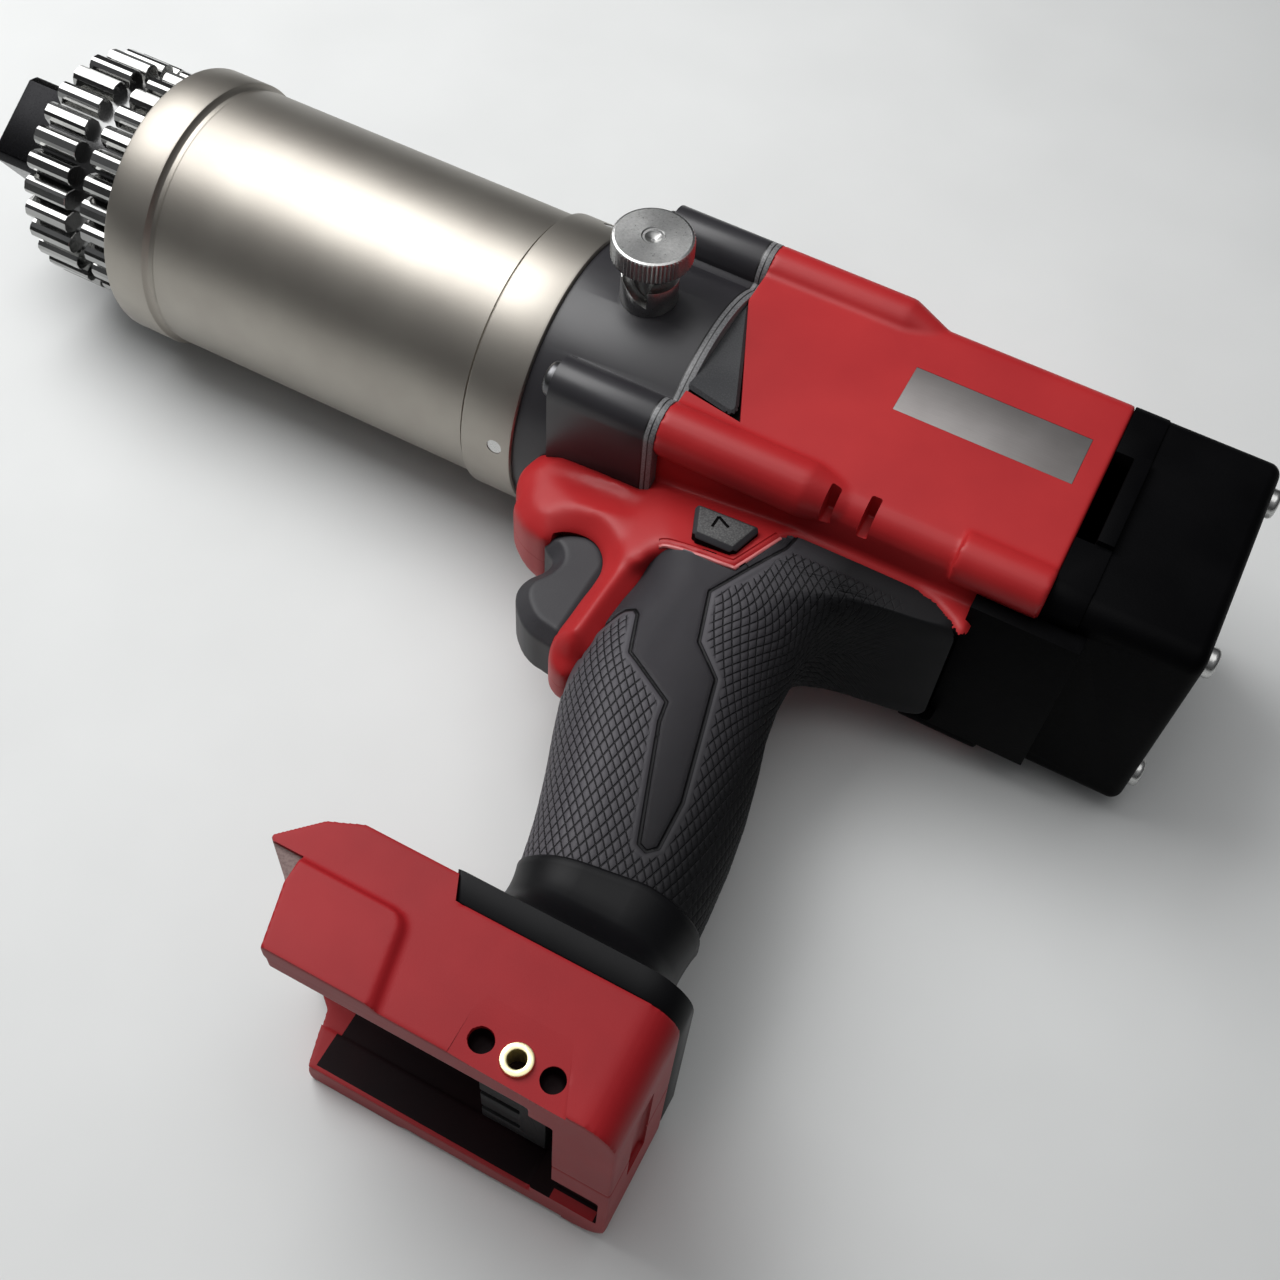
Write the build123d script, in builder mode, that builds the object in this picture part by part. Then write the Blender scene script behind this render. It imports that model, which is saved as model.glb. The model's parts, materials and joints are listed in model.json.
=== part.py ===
from build123d import *
import math
import os

# Pistol-grip battery torque gun, lying on its right side as it rests on a bench.
# X runs back along the drive axis, Y to the top of the tool, Z to its left, in millimetres.
# The origin is on the drive axis, at the front face of the gearbox sleeve.

os.makedirs("parts", exist_ok=True)

# Clearances
fit_gap = 0.05  # radial gap of a turned part in its seat
slip_gap = 0.3  # gap between neighbours that pass each other
axial_gap = 0.5  # gap along the axis between gears and carrier plates
backlash = 0.24  # taken off the thickness of each gear tooth

# Square drive and reaction spline
drive_square = 25.4
drive_length = 23.0
drive_turn = 29.0  # degrees that the square stands turned at rest
spindle_r = 16.6
spindle_nose = 1.2  # round shaft that shows in front of the spline
bush_wall = 3.3
seal_length = 2.6
spline_teeth = 28
spline_tip_r = 32.0
spline_root_r = 28.6
spline_length = 30.0
spline_front_row = 13.2
spline_groove = 5.0
spline_tooth_share = 0.66  # of the pitch, at the root
spline_tip_share = 0.44  # of the pitch, at the tip

# Gearbox sleeve
sleeve_length = 122.7
sleeve_r = 35.7
flange_length = 12.7
flange_rise = 1.2
flange_step = 1.6
band_length = 14.3
band_rise = 1.4
sleeve_wall = 4.65
front_wall = 10.0
spigot_wall = 2.0
edge_break = 0.8
spigot_length = 13.0  # of the collar, inside the rear of the sleeve
spigot_step = 2.85
grub_r = 2.0
grub_inset = 4.5
grub_length = 3.0
grub_count = 3
grub_turn = 172.8

# Planetary stages, all cut with the same teeth
gear_module = 1.25
pressure_angle = math.radians(25.0)
addendum = 0.8  # of the module
dedendum = 1.05
sun_teeth = 12
planet_teeth = 15
planet_count = 3
flank_steps = 2
planet_pin_r = 4.0
output_plate = 10.0
middle_plate = 8.0
middle_width = 34.0
input_plate = 8.0
input_width = 12.0
input_inset = 5.3  # from the collar's front face to the input gears
stage_gap = 11.5  # between the middle gears and the input carrier
ring_overhang = 0.4
output_plate_r = 26.5
carrier_r = 24.5

# Collar, shift ring and shift knob
collar_length = 34.8
bolt_half = 29.5  # half the spacing of the collar bolts
boss_r = 6.5
boss_length = 25.0
bolt_r = 2.5
bolt_reach = 18.0  # behind the gasket
bolt_head_r = 4.4
bolt_head_height = 3.0
collar_back_wall = 8.5
shift_length = 20.0
shift_throw = 3.0  # eccentricity of the crank pin
shift_groove_depth = 1.8
crank_pin_r = 2.0
crank_play = 0.75
shift_key_rise = 2.0
shift_key_width = 5.0
shift_key_length = 12.0
shift_key_count = 3
shift_key_turn = 30.0
knob_offset = 17.4  # behind the collar's front face
knob_r = 9.85
knob_height = 6.0
knob_top = 54.7  # above the drive axis
knob_stem_r = 4.0
knob_ribs = 48
knob_rib_depth = 0.35
knob_dimple_r = 2.2
shift_bush_r = 7.0
shift_bush_height = 8.0
shift_notch = 5.0
gasket_thickness = 2.8
gasket_bore_r = 10.0

# Motor housing
housing_length = 93.7
barrel_half = 33.0
barrel_corner = 6.0
stator_r = 27.9
rib_length = 36.0  # of the corner bosses behind the gasket
rib_fade = 16.0
rib_end_r = 3.0
rib_end_half = 27.5
rear_boss_r = 6.0
rear_boss_half = 29.0
rear_boss_length = 21.0
lip_length = 14.0  # of the rear cover's lip under the housing
lip_half = 25.0
lip_height = 4.5
lip_drop = 5.0  # of the lip below the rear cover
window_rise = 15.0
window_drop = 18.5
window_length = 14.0
window_tip_drop = 21.5
window_depth = 2.4
insert_thickness = 1.2
plate_length = 44.0
plate_rise = 14.5
plate_drop = 0.5
plate_inset = 5.7  # from the rear edge of the housing
plate_thickness = 0.6
vent_width = 2.6
vent_offsets = (43.2, 52.7)  # behind the gasket
vent_depth = 3.0
vent_length = 13.0

# Motor
shaft_r = 5.0
motor_bearing_r = 11.0
rear_bearing_r = 9.0
rear_bearing_shaft_r = 4.0
bearing_length = 6.5
bearing_race = 2.0
stator_offset = 12.0  # behind the gasket
stator_bore_r = 14.6
stator_yoke = 4.0
stator_slots = 12
slot_share = 0.55
slot_mouth = 1.0
air_gap = 0.6
winding_overhang = 6.0
fan_room = 6.0  # between the fan and the bearing wall
fan_gap = 2.0  # between the windings and the fan
fan_length = 9.0
fan_r = 24.0
fan_hub_r = 9.0
fan_blades = 9
fan_blade_thickness = 1.6
fan_plate = 1.6
bearing_wall = 9.0
rear_room_length = 9.7  # between the bearing wall and the belt

# Rear belt and cover
belt_length = 8.5
belt_wall = 4.0
slot_half = 14.0
slot_width = 4.5
slot_depth = 5.0
bar_rise = 1.6
cover_length = 27.5
cover_half = 32.5
cover_corner = 5.0
cover_wall = 3.0
cover_screw_half = 25.0
cover_screw_r = 2.0
cover_head_r = 3.6
cover_head_height = 2.4
cover_screw_reach = 8.0  # into the housing
cover_post_r = 5.2
board_thickness = 1.6
board_offset = 8.0
capacitor_r = 4.0
capacitor_spacing = 12.0
capacitor_length = 9.0

# Handle, in X from the gasket's rear face and in Y from the drive axis
nose_front = 31.3
nose_top = 36.3
nose_half = 14.0
nose_edge = 4.0
saddle_half = 19.5
saddle_length = 36.0
saddle_drop = 46.5
opening_x = -8.3
opening_y = -61.8
opening_r = 11.0
guard_drop = 90.0
nose_tip_drop = 6.0
nose_chin = (3.2, 13.6)  # behind the nose's front and below its top
lip_shares = ((-1.1, 0.51), (-0.85, 0.53))  # edge over the trigger, from the opening's centre in its radii
guard_inner_share = (0.68, -1.8)
guard_toe_share = 0.8
grip_levels = (32.0, 66.0, 86.0, 108.0, 131.0)  # below the drive axis
grip_fronts = (8.0, 5.5, 6.0, 13.3, 19.7)
grip_backs = (62.0, 49.7, 53.9, 57.9, 59.4)
grip_widths = (42.0, 36.0, 35.0, 33.5, 31.5)
grip_round = 0.46  # corner radius over the width
rubber_wall = 3.0
core_wall = 3.0
inlay_depth = 1.0
inlay_proud = 0.4
under_pad_half = 20.0
under_pad_thickness = 8.6  # at its front
under_pad_heel = 5.4  # its thickness at the rear
clam_screw_r = 1.75
clam_head_r = 3.4
clam_head_height = 2.4
clam_reach = 9.0  # of the screw tips, left of the parting plane
clam_post_wall = 1.5
nose_screw_inset = 8.8
nose_screw_drop = 8.0
nose_screw_seat = 7.0
grip_screw_inset = 10.5
grip_screw_drop = 10.4
grip_screw_seat = 8.0
heel_screw_inset = 12.9
heel_screw_rise = 8.0
heel_screw_seat = 7.0
barrel_screw_gap = 4.5  # behind the front of the bearing wall
barrel_screw_inset = 15.0
barrel_screw_seat = 14.0

# Trigger, switch and direction button
trigger_half = 9.5
trigger_travel = 6.0
trigger_gap = 0.5
trigger_brow_share = (-0.7, 0.45)  # from the opening's centre, in its radii
trigger_hollow_shares = ((-0.43, 0.0), (-0.6, -0.47), (-0.65, -0.84), (-0.45, -1.25), (-0.06, -1.53))
trigger_toe_share = (0.4, -1.6)
trigger_shoulder_share = (0.84, 0.47)
trigger_heel_rise = 3.5  # above the pocket's floor
pocket_back = 38.0
pocket_top = 50.0
pocket_bottom = 84.0
switch_length = 21.0
switch_half = 9.0
switch_top = 52.0
switch_bottom = 78.0
spring_wire_r = 0.45
spring_r = 3.1
spring_turns = 6
spring_length = 15.0
spring_y = -66.0
button_x = 21.5
button_rise = 4.3  # of its middle above the saddle's lower edge
button_length = 13.4
button_height = 5.6
button_slant = 3.0
button_proud = 2.6

# Neck and battery foot
neck_height = 19.0
neck_front = 21.4
neck_waist_drop = 10.5  # of the waist below the grip
neck_waist = (20.3, 62.4, 40.5)  # its front, back and width
neck_side_inset = 0.6
flange_drop = 5.0
foot_height = 30.0
foot_half = 36.5
foot_front = -16.3
foot_back = 67.8
foot_corner = 8.0
visor_drop = 10.4
visor_crown = 14.2
visor_brow = (7.3, 3.0)
visor_reach = 8.2
visor_depth = 17.2
foot_rake = 3.8
pad_rise = 1.5
pad_back = 18.3
pad_top = 12.5  # below the foot's top
bay_half = 29.0
bay_back = 50.0
bay_depth = 19.0
rail_depth = 4.0
rail_bottom = 9.0
rail_height = 7.5
wire_front = 33.0
wire_back = 45.0
wire_half = 8.0
terminal_length = 15.0
terminal_half = 21.0
terminal_height = 12.0
blade_count = 4
blade_spacing = 10.0
blade_thickness = 0.8
blade_length = 9.0
blade_height = 8.0
blade_slot = 2.6
insert_x = 45.4
insert_rise = 4.8  # above the foot's lower edge
insert_r = 3.15
insert_bore_r = 1.75
insert_length = 7.0
peg_spacing = 14.4
peg_r = 2.45
peg_depth = 5.0
foot_screw_seat = 14.0
foot_screw_drops = (5.0, 10.0)  # below the foot's top, front and rear
foot_screw_rise = 7.0  # above its lower edge
foot_screw_x = 58.5
foot_screw_front_x = 0.5
lead_r = 1.6
lead_half = 3.2
lead_inset = 12.6  # behind the switch's front face

# Places along the drive axis
band_x = sleeve_length - band_length
flange_r = sleeve_r + flange_rise
band_r = sleeve_r + band_rise
bore_r = sleeve_r - sleeve_wall
ring_r = bore_r - fit_gap
bush_r = spindle_r + fit_gap + bush_wall
spline_bore_r = bush_r + fit_gap
spline_spigot_r = spline_bore_r + spigot_wall
collar_x = sleeve_length
counterbore_r = bore_r + spigot_step
counterbore_x = collar_x - spigot_length
gasket_x = collar_x + collar_length
housing_x = gasket_x + gasket_thickness
belt_x = housing_x + housing_length
rear_room_x = belt_x - rear_room_length
bearing_wall_x = rear_room_x - bearing_wall
fan_x = bearing_wall_x - fan_room - fan_length
stator_x = housing_x + stator_offset
stator_length = fan_x - fan_gap - winding_overhang - stator_x
cover_x = belt_x + belt_length
cover_end = cover_x + cover_length
collar_r = bolt_half + boss_r
boss_x = gasket_x - boss_length
knob_x = collar_x + knob_offset
output_plate_x = front_wall + axial_gap
output_x = output_plate_x + output_plate + axial_gap
input_x = collar_x + input_inset
input_plate_x = input_x - axial_gap - input_plate
middle_x = input_plate_x - stage_gap - middle_width
middle_plate_x = middle_x - axial_gap - middle_plate
output_width = middle_plate_x - axial_gap - output_x
pinion_end = input_x + input_width

# Sizes of the gears
ring_teeth = sun_teeth + 2 * planet_teeth
planet_orbit = gear_module * (sun_teeth + planet_teeth) / 2
planet_angles = [360 / planet_count * place for place in range(planet_count)]

# Levels of the handle
grip_bottom = grip_levels[-1]
foot_top = grip_bottom + neck_height
foot_bottom = foot_top + foot_height
neck_half = foot_half - neck_side_inset
button_y = -saddle_drop + button_rise
handle = Plane((housing_x, 0, 0), x_dir=(1, 0, 0), z_dir=(0, 0, 1))


def across(x):
    """Plane square to the drive axis, with Y and Z as its own axes."""
    return Plane.YZ.offset(x)


def level(drop):
    """Plane square to the handle, below the drive axis, with X from the gasket and Z as its axes."""
    return Plane((housing_x, -drop, 0), x_dir=(1, 0, 0), z_dir=(0, -1, 0))


def keep(piece, label):
    piece.part.label = label
    export_step(piece.part, f"parts/{label}.step")


def drum(x, length, radius, mode=Mode.ADD):
    """Cylinder on the drive axis."""
    with BuildSketch(across(x)) as face:
        Circle(radius)
    extrude(face.sketch, amount=length, mode=mode)


def rounded_bar(x, length, half, corner, mode=Mode.ADD):
    """Square bar with rounded corners on the drive axis."""
    with BuildSketch(across(x)) as face:
        RectangleRounded(2 * half, 2 * half, corner)
    extrude(face.sketch, amount=length, mode=mode)


def bolt_row(x, length, half, radius, mode=Mode.SUBTRACT):
    """Four round bars along X, at the corners of a square."""
    with BuildSketch(across(x)) as face:
        with GridLocations(2 * half, 2 * half, 2, 2):
            Circle(radius)
    extrude(face.sketch, amount=length, mode=mode)


def block(corner_low, corner_high, mode=Mode.ADD):
    """Box between two corners."""
    size = [high - low for low, high in zip(corner_low, corner_high)]
    centre = [(high + low) / 2 for low, high in zip(corner_low, corner_high)]
    with Locations(tuple(centre)):
        Box(*size, mode=mode)


def handle_block(x_range, drop_range, z_range, mode=Mode.ADD):
    """Box placed by X from the gasket and by its drop below the drive axis."""
    low = (housing_x + x_range[0], -drop_range[1], z_range[0])
    high = (housing_x + x_range[1], -drop_range[0], z_range[1])
    block(low, high, mode)


def cross_pin(x, y, z_range, radius, mode=Mode.ADD):
    """Round bar along Z, placed by X from the gasket."""
    with Locations((housing_x + x, y, (z_range[0] + z_range[1]) / 2)):
        Cylinder(radius, z_range[1] - z_range[0], mode=mode)


def coupling_face(x):
    """Outline of the collar's rear: a round body, four bolt bosses and flats between them."""
    with BuildSketch(across(x)) as face:
        Circle(collar_r)
        Rectangle(2 * collar_r, 2 * bolt_half)
        with GridLocations(2 * bolt_half, 2 * bolt_half, 2, 2):
            Circle(boss_r)
    return face.sketch


def involute(angle):
    return math.tan(angle) - angle


def tooth_outline(teeth, tip_r, root_r, thinning, turn=0.0, centre=(0.0, 0.0)):
    """Points round a gear with involute flanks, with one tooth centred at the turn."""
    pitch_r = gear_module * teeth / 2
    base_r = pitch_r * math.cos(pressure_angle)
    half_pitch = math.pi / (2 * teeth) - thinning / (2 * pitch_r)
    start_r = max(root_r, base_r)
    flank = []
    for step in range(flank_steps + 1):
        r = start_r + (tip_r - start_r) * step / flank_steps
        flank.append((r, half_pitch + involute(pressure_angle) - involute(math.acos(base_r / r))))
    if root_r < base_r:
        flank.insert(0, (root_r, flank[0][1]))
    points = []
    for tooth in range(teeth):
        middle = math.radians(turn) + 2 * math.pi * tooth / teeth
        rise = [(r, middle - half) for r, half in flank]
        fall = [(r, middle + half) for r, half in reversed(flank)]
        for r, angle in rise + fall:
            points.append((centre[0] + r * math.cos(angle), centre[1] + r * math.sin(angle)))
    return points


def gear_face(x, teeth, turn=0.0, centre=(0.0, 0.0)):
    """Face of an external gear, square to the drive axis."""
    pitch_r = gear_module * teeth / 2
    tip_r = pitch_r + addendum * gear_module
    root_r = pitch_r - dedendum * gear_module
    with BuildSketch(across(x)) as face:
        with BuildLine():
            Polyline(*tooth_outline(teeth, tip_r, root_r, backlash, turn, centre), close=True)
        make_face()
    return face.sketch


def ring_face(x):
    """Face of a ring gear, in mesh with planets that stand at the planet angles."""
    pitch_r = gear_module * ring_teeth / 2
    tip_r = pitch_r - addendum * gear_module
    root_r = pitch_r + dedendum * gear_module
    space_turn = (180 * planet_teeth + 180) / ring_teeth
    with BuildSketch(across(x)) as face:
        Circle(ring_r)
        with BuildLine():
            Polyline(*tooth_outline(ring_teeth, root_r, tip_r, -backlash, space_turn), close=True)
        make_face(mode=Mode.SUBTRACT)
    return face.sketch


def on_orbit(angle):
    return (planet_orbit * math.cos(math.radians(angle)), planet_orbit * math.sin(math.radians(angle)))


def make_planets(stage, x, width):
    """The planets of one stage, each turned so that a gap meets the sun's tooth."""
    for place, angle in enumerate(planet_angles):
        turn = angle + 180 + (180 + sun_teeth * angle) / planet_teeth
        with BuildPart() as planet:
            extrude(gear_face(x, planet_teeth, turn, on_orbit(angle)), amount=width)
            with BuildSketch(across(x)) as bore:
                with Locations(on_orbit(angle)):
                    Circle(planet_pin_r + fit_gap)
            extrude(bore.sketch, amount=width, mode=Mode.SUBTRACT)
        keep(planet, f"{stage}_planet_{place + 1}")


def planet_pin_bars(x, length, radius, mode=Mode.ADD):
    """Bars on the planet axes."""
    with BuildSketch(across(x)) as face:
        with Locations(*[on_orbit(angle) for angle in planet_angles]):
            Circle(radius)
    extrude(face.sketch, amount=length, mode=mode)


def make_pins(stage, plate_x, plate, width):
    """Planet pins of one stage, pressed through the carrier plate."""
    with BuildPart() as pins:
        planet_pin_bars(plate_x, plate + axial_gap + width, planet_pin_r)
    keep(pins, f"{stage}_planet_pins")


def make_ring(stage, x, width):
    with BuildPart() as ring:
        extrude(ring_face(x - ring_overhang), amount=width + 2 * ring_overhang)
    keep(ring, f"{stage}_ring_gear")


# Output spindle: square drive, shaft and the output stage's carrier in one piece
square_x = -spline_length - spindle_nose - drive_length
with BuildPart() as output_spindle:
    drum(square_x, output_plate_x - square_x, spindle_r)
    with BuildSketch(across(square_x)):
        Circle(spindle_r)
        Rectangle(drive_square, drive_square, rotation=drive_turn, mode=Mode.SUBTRACT)
    extrude(amount=drive_length, mode=Mode.SUBTRACT)
    chamfer(output_spindle.faces().sort_by(Axis.X)[0].edges(), edge_break)
    drum(output_plate_x, output_plate, output_plate_r)
    planet_pin_bars(output_plate_x, output_plate, planet_pin_r + fit_gap, Mode.SUBTRACT)
keep(output_spindle, "output_spindle")
make_pins("output", output_plate_x, output_plate, output_width)
make_planets("output", output_x, output_width)
make_ring("output", output_x, output_width)

# Middle stage: its carrier bears the output stage's sun
with BuildPart() as middle_carrier:
    drum(middle_plate_x, middle_plate, carrier_r)
    extrude(gear_face(output_x, sun_teeth), amount=middle_plate_x - output_x)
    planet_pin_bars(middle_plate_x, middle_plate, planet_pin_r + fit_gap, Mode.SUBTRACT)
keep(middle_carrier, "middle_carrier")
make_pins("middle", middle_plate_x, middle_plate, middle_width)
make_planets("middle", middle_x, middle_width)
make_ring("middle", middle_x, middle_width)

# Input stage: its carrier bears the middle stage's sun, and its ring gear is the shift ring
with BuildPart() as input_carrier:
    drum(input_plate_x, input_plate, carrier_r)
    extrude(gear_face(middle_x, sun_teeth), amount=input_plate_x - middle_x)
    planet_pin_bars(input_plate_x, input_plate, planet_pin_r + fit_gap, Mode.SUBTRACT)
keep(input_carrier, "input_carrier")
make_pins("input", input_plate_x, input_plate, input_width)
make_planets("input", input_x, input_width)

# Shift ring, in low gear at rest: the crank pin stands behind the knob's axis
crank_x = knob_x + shift_throw
crank_disc_r = shift_throw + crank_pin_r
groove_half = crank_pin_r + crank_play
shift_x = crank_x + groove_half + crank_pin_r - shift_length
key_x = shift_x + shift_length - axial_gap - shift_key_length
key_angles = [shift_key_turn + 360 / shift_key_count * place for place in range(shift_key_count)]


def key_bars(x, length, reach, width, mode):
    """Keys or keyways along X, spaced round the shift ring."""
    with BuildSketch(across(x)) as face:
        for angle in key_angles:
            spot = Location((0, 0), angle)
            with Locations(spot):
                with Locations((ring_r - shift_key_rise + (reach + shift_key_rise) / 2, 0)):
                    Rectangle(reach + shift_key_rise, width)
    extrude(face.sketch, amount=length, mode=mode)


with BuildPart() as shift_ring:
    drum(shift_x, shift_length, ring_r)
    key_bars(key_x, shift_key_length, shift_key_rise, shift_key_width, Mode.ADD)
    drum(crank_x - groove_half, 2 * groove_half, ring_r + shift_key_rise, Mode.SUBTRACT)
    drum(crank_x - groove_half, 2 * groove_half, ring_r - shift_groove_depth)
    with BuildSketch(across(shift_x)):
        with BuildLine():
            ring_pitch_r = gear_module * ring_teeth / 2
            Polyline(
                *tooth_outline(
                    ring_teeth,
                    ring_pitch_r + dedendum * gear_module,
                    ring_pitch_r - addendum * gear_module,
                    -backlash,
                    (180 * planet_teeth + 180) / ring_teeth,
                ),
                close=True,
            )
        make_face()
    extrude(amount=shift_length, mode=Mode.SUBTRACT)
keep(shift_ring, "shift_ring")

# Reaction spline ring: two rows of teeth with a groove between, on a spigot in the sleeve
with BuildPart() as reaction_spline_ring:
    pitch = 2 * math.pi / spline_teeth
    outline = []
    for tooth in range(spline_teeth):
        middle = tooth * pitch
        corners = (
            (spline_root_r, -spline_tooth_share / 2),
            (spline_tip_r, -spline_tip_share / 2),
            (spline_tip_r, spline_tip_share / 2),
            (spline_root_r, spline_tooth_share / 2),
        )
        for radius, share in corners:
            angle = middle + share * pitch
            outline.append((radius * math.cos(angle), radius * math.sin(angle)))
    with BuildSketch(across(-spline_length)):
        with BuildLine():
            Polyline(*outline, close=True)
        make_face()
    extrude(amount=spline_length)
    with BuildSketch(across(spline_front_row - spline_length)):
        Circle(spline_tip_r + edge_break)
        Circle(spline_root_r, mode=Mode.SUBTRACT)
    extrude(amount=spline_groove, mode=Mode.SUBTRACT)
    drum(0, front_wall, spline_spigot_r)
    drum(-spline_length, spline_length + front_wall, spline_bore_r, Mode.SUBTRACT)
keep(reaction_spline_ring, "reaction_spline_ring")

with BuildPart() as spindle_bush:
    bush_x = seal_length - spline_length + slip_gap
    drum(bush_x, front_wall - bush_x, bush_r)
    drum(bush_x, front_wall - bush_x, spindle_r + fit_gap, Mode.SUBTRACT)
keep(spindle_bush, "spindle_bush")

with BuildPart() as spindle_seal:
    drum(-spline_length, seal_length, bush_r)
    drum(-spline_length, seal_length, spindle_r + fit_gap, Mode.SUBTRACT)
keep(spindle_seal, "spindle_seal")

# Gearbox sleeve, turned in one piece, with set screws that hold it on the collar
grub_angles = [grub_turn + 360 / grub_count * place for place in range(grub_count)]
grub_x = sleeve_length - grub_inset


def radial_bars(reach, length, radius, mode):
    """Round bars that point at the drive axis, at the set screws' places."""
    for angle in grub_angles:
        out = (0, math.cos(math.radians(angle)), math.sin(math.radians(angle)))
        middle = reach - length / 2
        with Locations(Plane((grub_x, middle * out[1], middle * out[2]), z_dir=out)):
            Cylinder(radius, length, mode=mode)


with BuildPart() as gearbox_sleeve:
    with BuildSketch(Plane.XY):
        with BuildLine():
            Polyline(
                (0, spline_spigot_r + fit_gap),
                (0, flange_r - edge_break),
                (edge_break, flange_r),
                (flange_length, flange_r),
                (flange_length + flange_step, sleeve_r),
                (band_x, sleeve_r),
                (band_x, band_r),
                (sleeve_length - edge_break, band_r),
                (sleeve_length, band_r - edge_break),
                (sleeve_length, counterbore_r),
                (counterbore_x, counterbore_r),
                (counterbore_x, bore_r),
                (front_wall, bore_r),
                (front_wall, spline_spigot_r + fit_gap),
                close=True,
            )
        make_face()
    revolve(axis=Axis.X)
    radial_bars(band_r + edge_break, band_r, grub_r + fit_gap, Mode.SUBTRACT)
keep(gearbox_sleeve, "gearbox_sleeve")

with BuildPart() as sleeve_grub_screws:
    radial_bars(counterbore_r + grub_length, grub_length, grub_r, Mode.ADD)
keep(sleeve_grub_screws, "sleeve_grub_screws")

# Collar: spigot in the sleeve, round front, bolt bosses, and a wall for the front motor bearing
collar_bore_r = ring_r + slip_gap
back_wall_x = gasket_x - collar_back_wall
with BuildPart() as drive_collar:
    drum(counterbore_x, spigot_length, counterbore_r - fit_gap)
    drum(collar_x, collar_length, collar_r)
    extrude(coupling_face(boss_x), amount=boss_length)
    drum(counterbore_x, back_wall_x - counterbore_x, collar_bore_r, Mode.SUBTRACT)
    drum(back_wall_x, collar_back_wall, shaft_r + axial_gap, Mode.SUBTRACT)
    drum(gasket_x - bearing_length, bearing_length, motor_bearing_r + fit_gap, Mode.SUBTRACT)
    keyway_reach = shift_key_rise + slip_gap
    keyway_x = key_x - 2 * shift_throw - axial_gap
    key_bars(keyway_x, back_wall_x - keyway_x, keyway_reach, shift_key_width + 2 * slip_gap, Mode.SUBTRACT)
    bolt_row(boss_x, boss_length, bolt_half, bolt_r + fit_gap)
    with Locations((knob_x, 0, collar_r)):
        Cylinder(crank_disc_r + slip_gap, 2 * (collar_r - ring_r + slip_gap), mode=Mode.SUBTRACT)
keep(drive_collar, "drive_collar")

with BuildPart() as collar_screws:
    bolt_row(boss_x, boss_length + gasket_thickness + bolt_reach, bolt_half, bolt_r, Mode.ADD)
    bolt_row(boss_x - bolt_head_height, bolt_head_height, bolt_half, bolt_head_r, Mode.ADD)
    fillet(collar_screws.faces().filter_by(Axis.X).group_by(Axis.X)[0].edges(), bolt_head_height / 2)
keep(collar_screws, "collar_screws")

# Shift knob: knurled head, stem through the bush, and the crank pin in the shift ring's groove
stem_seat = ring_r + slip_gap
bush_seat = collar_r - edge_break
with BuildPart() as shift_knob:
    with BuildSketch(Plane((knob_x, 0, knob_top - knob_height))):
        with BuildLine():
            ridges = []
            for rib in range(knob_ribs):
                for part_of_rib, radius in ((0, knob_r - knob_rib_depth), (0.5, knob_r)):
                    angle = 2 * math.pi * (rib + part_of_rib) / knob_ribs
                    ridges.append((radius * math.cos(angle), radius * math.sin(angle)))
            Polyline(*ridges, close=True)
        make_face()
    extrude(amount=knob_height)
    with Locations((knob_x, 0, knob_top)):
        Cone(knob_dimple_r, edge_break, 2 * edge_break, mode=Mode.SUBTRACT)
    with Locations((knob_x, 0, (stem_seat + knob_top - knob_height) / 2)):
        Cylinder(knob_stem_r, knob_top - knob_height - stem_seat)
    with Locations((knob_x, 0, stem_seat + crank_pin_r)):
        Cylinder(crank_disc_r, 2 * crank_pin_r)
    crank_bottom = ring_r - shift_groove_depth + slip_gap
    with Locations((crank_x, 0, (crank_bottom + stem_seat + crank_pin_r) / 2)):
        Cylinder(crank_pin_r, stem_seat + crank_pin_r - crank_bottom)
keep(shift_knob, "shift_knob")

with BuildPart() as shift_bush:
    with Locations((knob_x, 0, bush_seat + shift_bush_height / 2)):
        Cylinder(shift_bush_r, shift_bush_height)
        Cylinder(knob_stem_r + fit_gap, shift_bush_height, mode=Mode.SUBTRACT)
    with BuildSketch(Plane((knob_x, 0, bush_seat + shift_bush_height), x_dir=(1, 0, 0), z_dir=(0, -1, 0))):
        with BuildLine():
            Polyline((-shift_notch, 0), (shift_notch / 2, 0), (shift_notch / 2, -shift_notch), close=True)
        make_face()
    extrude(amount=shift_bush_r, mode=Mode.SUBTRACT)
    drum(knob_x - collar_r, 2 * collar_r, collar_r + fit_gap, Mode.SUBTRACT)
keep(shift_bush, "shift_bush")

with BuildPart() as gasket_plate:
    extrude(coupling_face(gasket_x), amount=gasket_thickness)
    drum(gasket_x, gasket_thickness, gasket_bore_r, Mode.SUBTRACT)
    bolt_row(gasket_x, gasket_thickness, bolt_half, bolt_r + fit_gap)
keep(gasket_plate, "gasket_plate")

# Motor: shaft with the pinion, rotor, fan, stator and bearings
rear_bearing_x = rear_room_x - bearing_length
shaft_end = rear_bearing_x + bearing_length
with BuildPart() as motor_shaft:
    extrude(gear_face(input_x, sun_teeth), amount=input_width)
    drum(pinion_end, rear_bearing_x - pinion_end, shaft_r)
    drum(rear_bearing_x, shaft_end - rear_bearing_x, rear_bearing_shaft_r)
keep(motor_shaft, "motor_shaft")

with BuildPart() as rotor_core:
    drum(stator_x, stator_length, stator_bore_r - air_gap)
    drum(stator_x, stator_length, shaft_r + fit_gap, Mode.SUBTRACT)
keep(rotor_core, "rotor_core")

slot_outer_r = stator_r - stator_yoke
slot_middle_r = (stator_bore_r + slot_outer_r) / 2
slot_span = 2 * math.pi * slot_middle_r / stator_slots * slot_share


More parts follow.
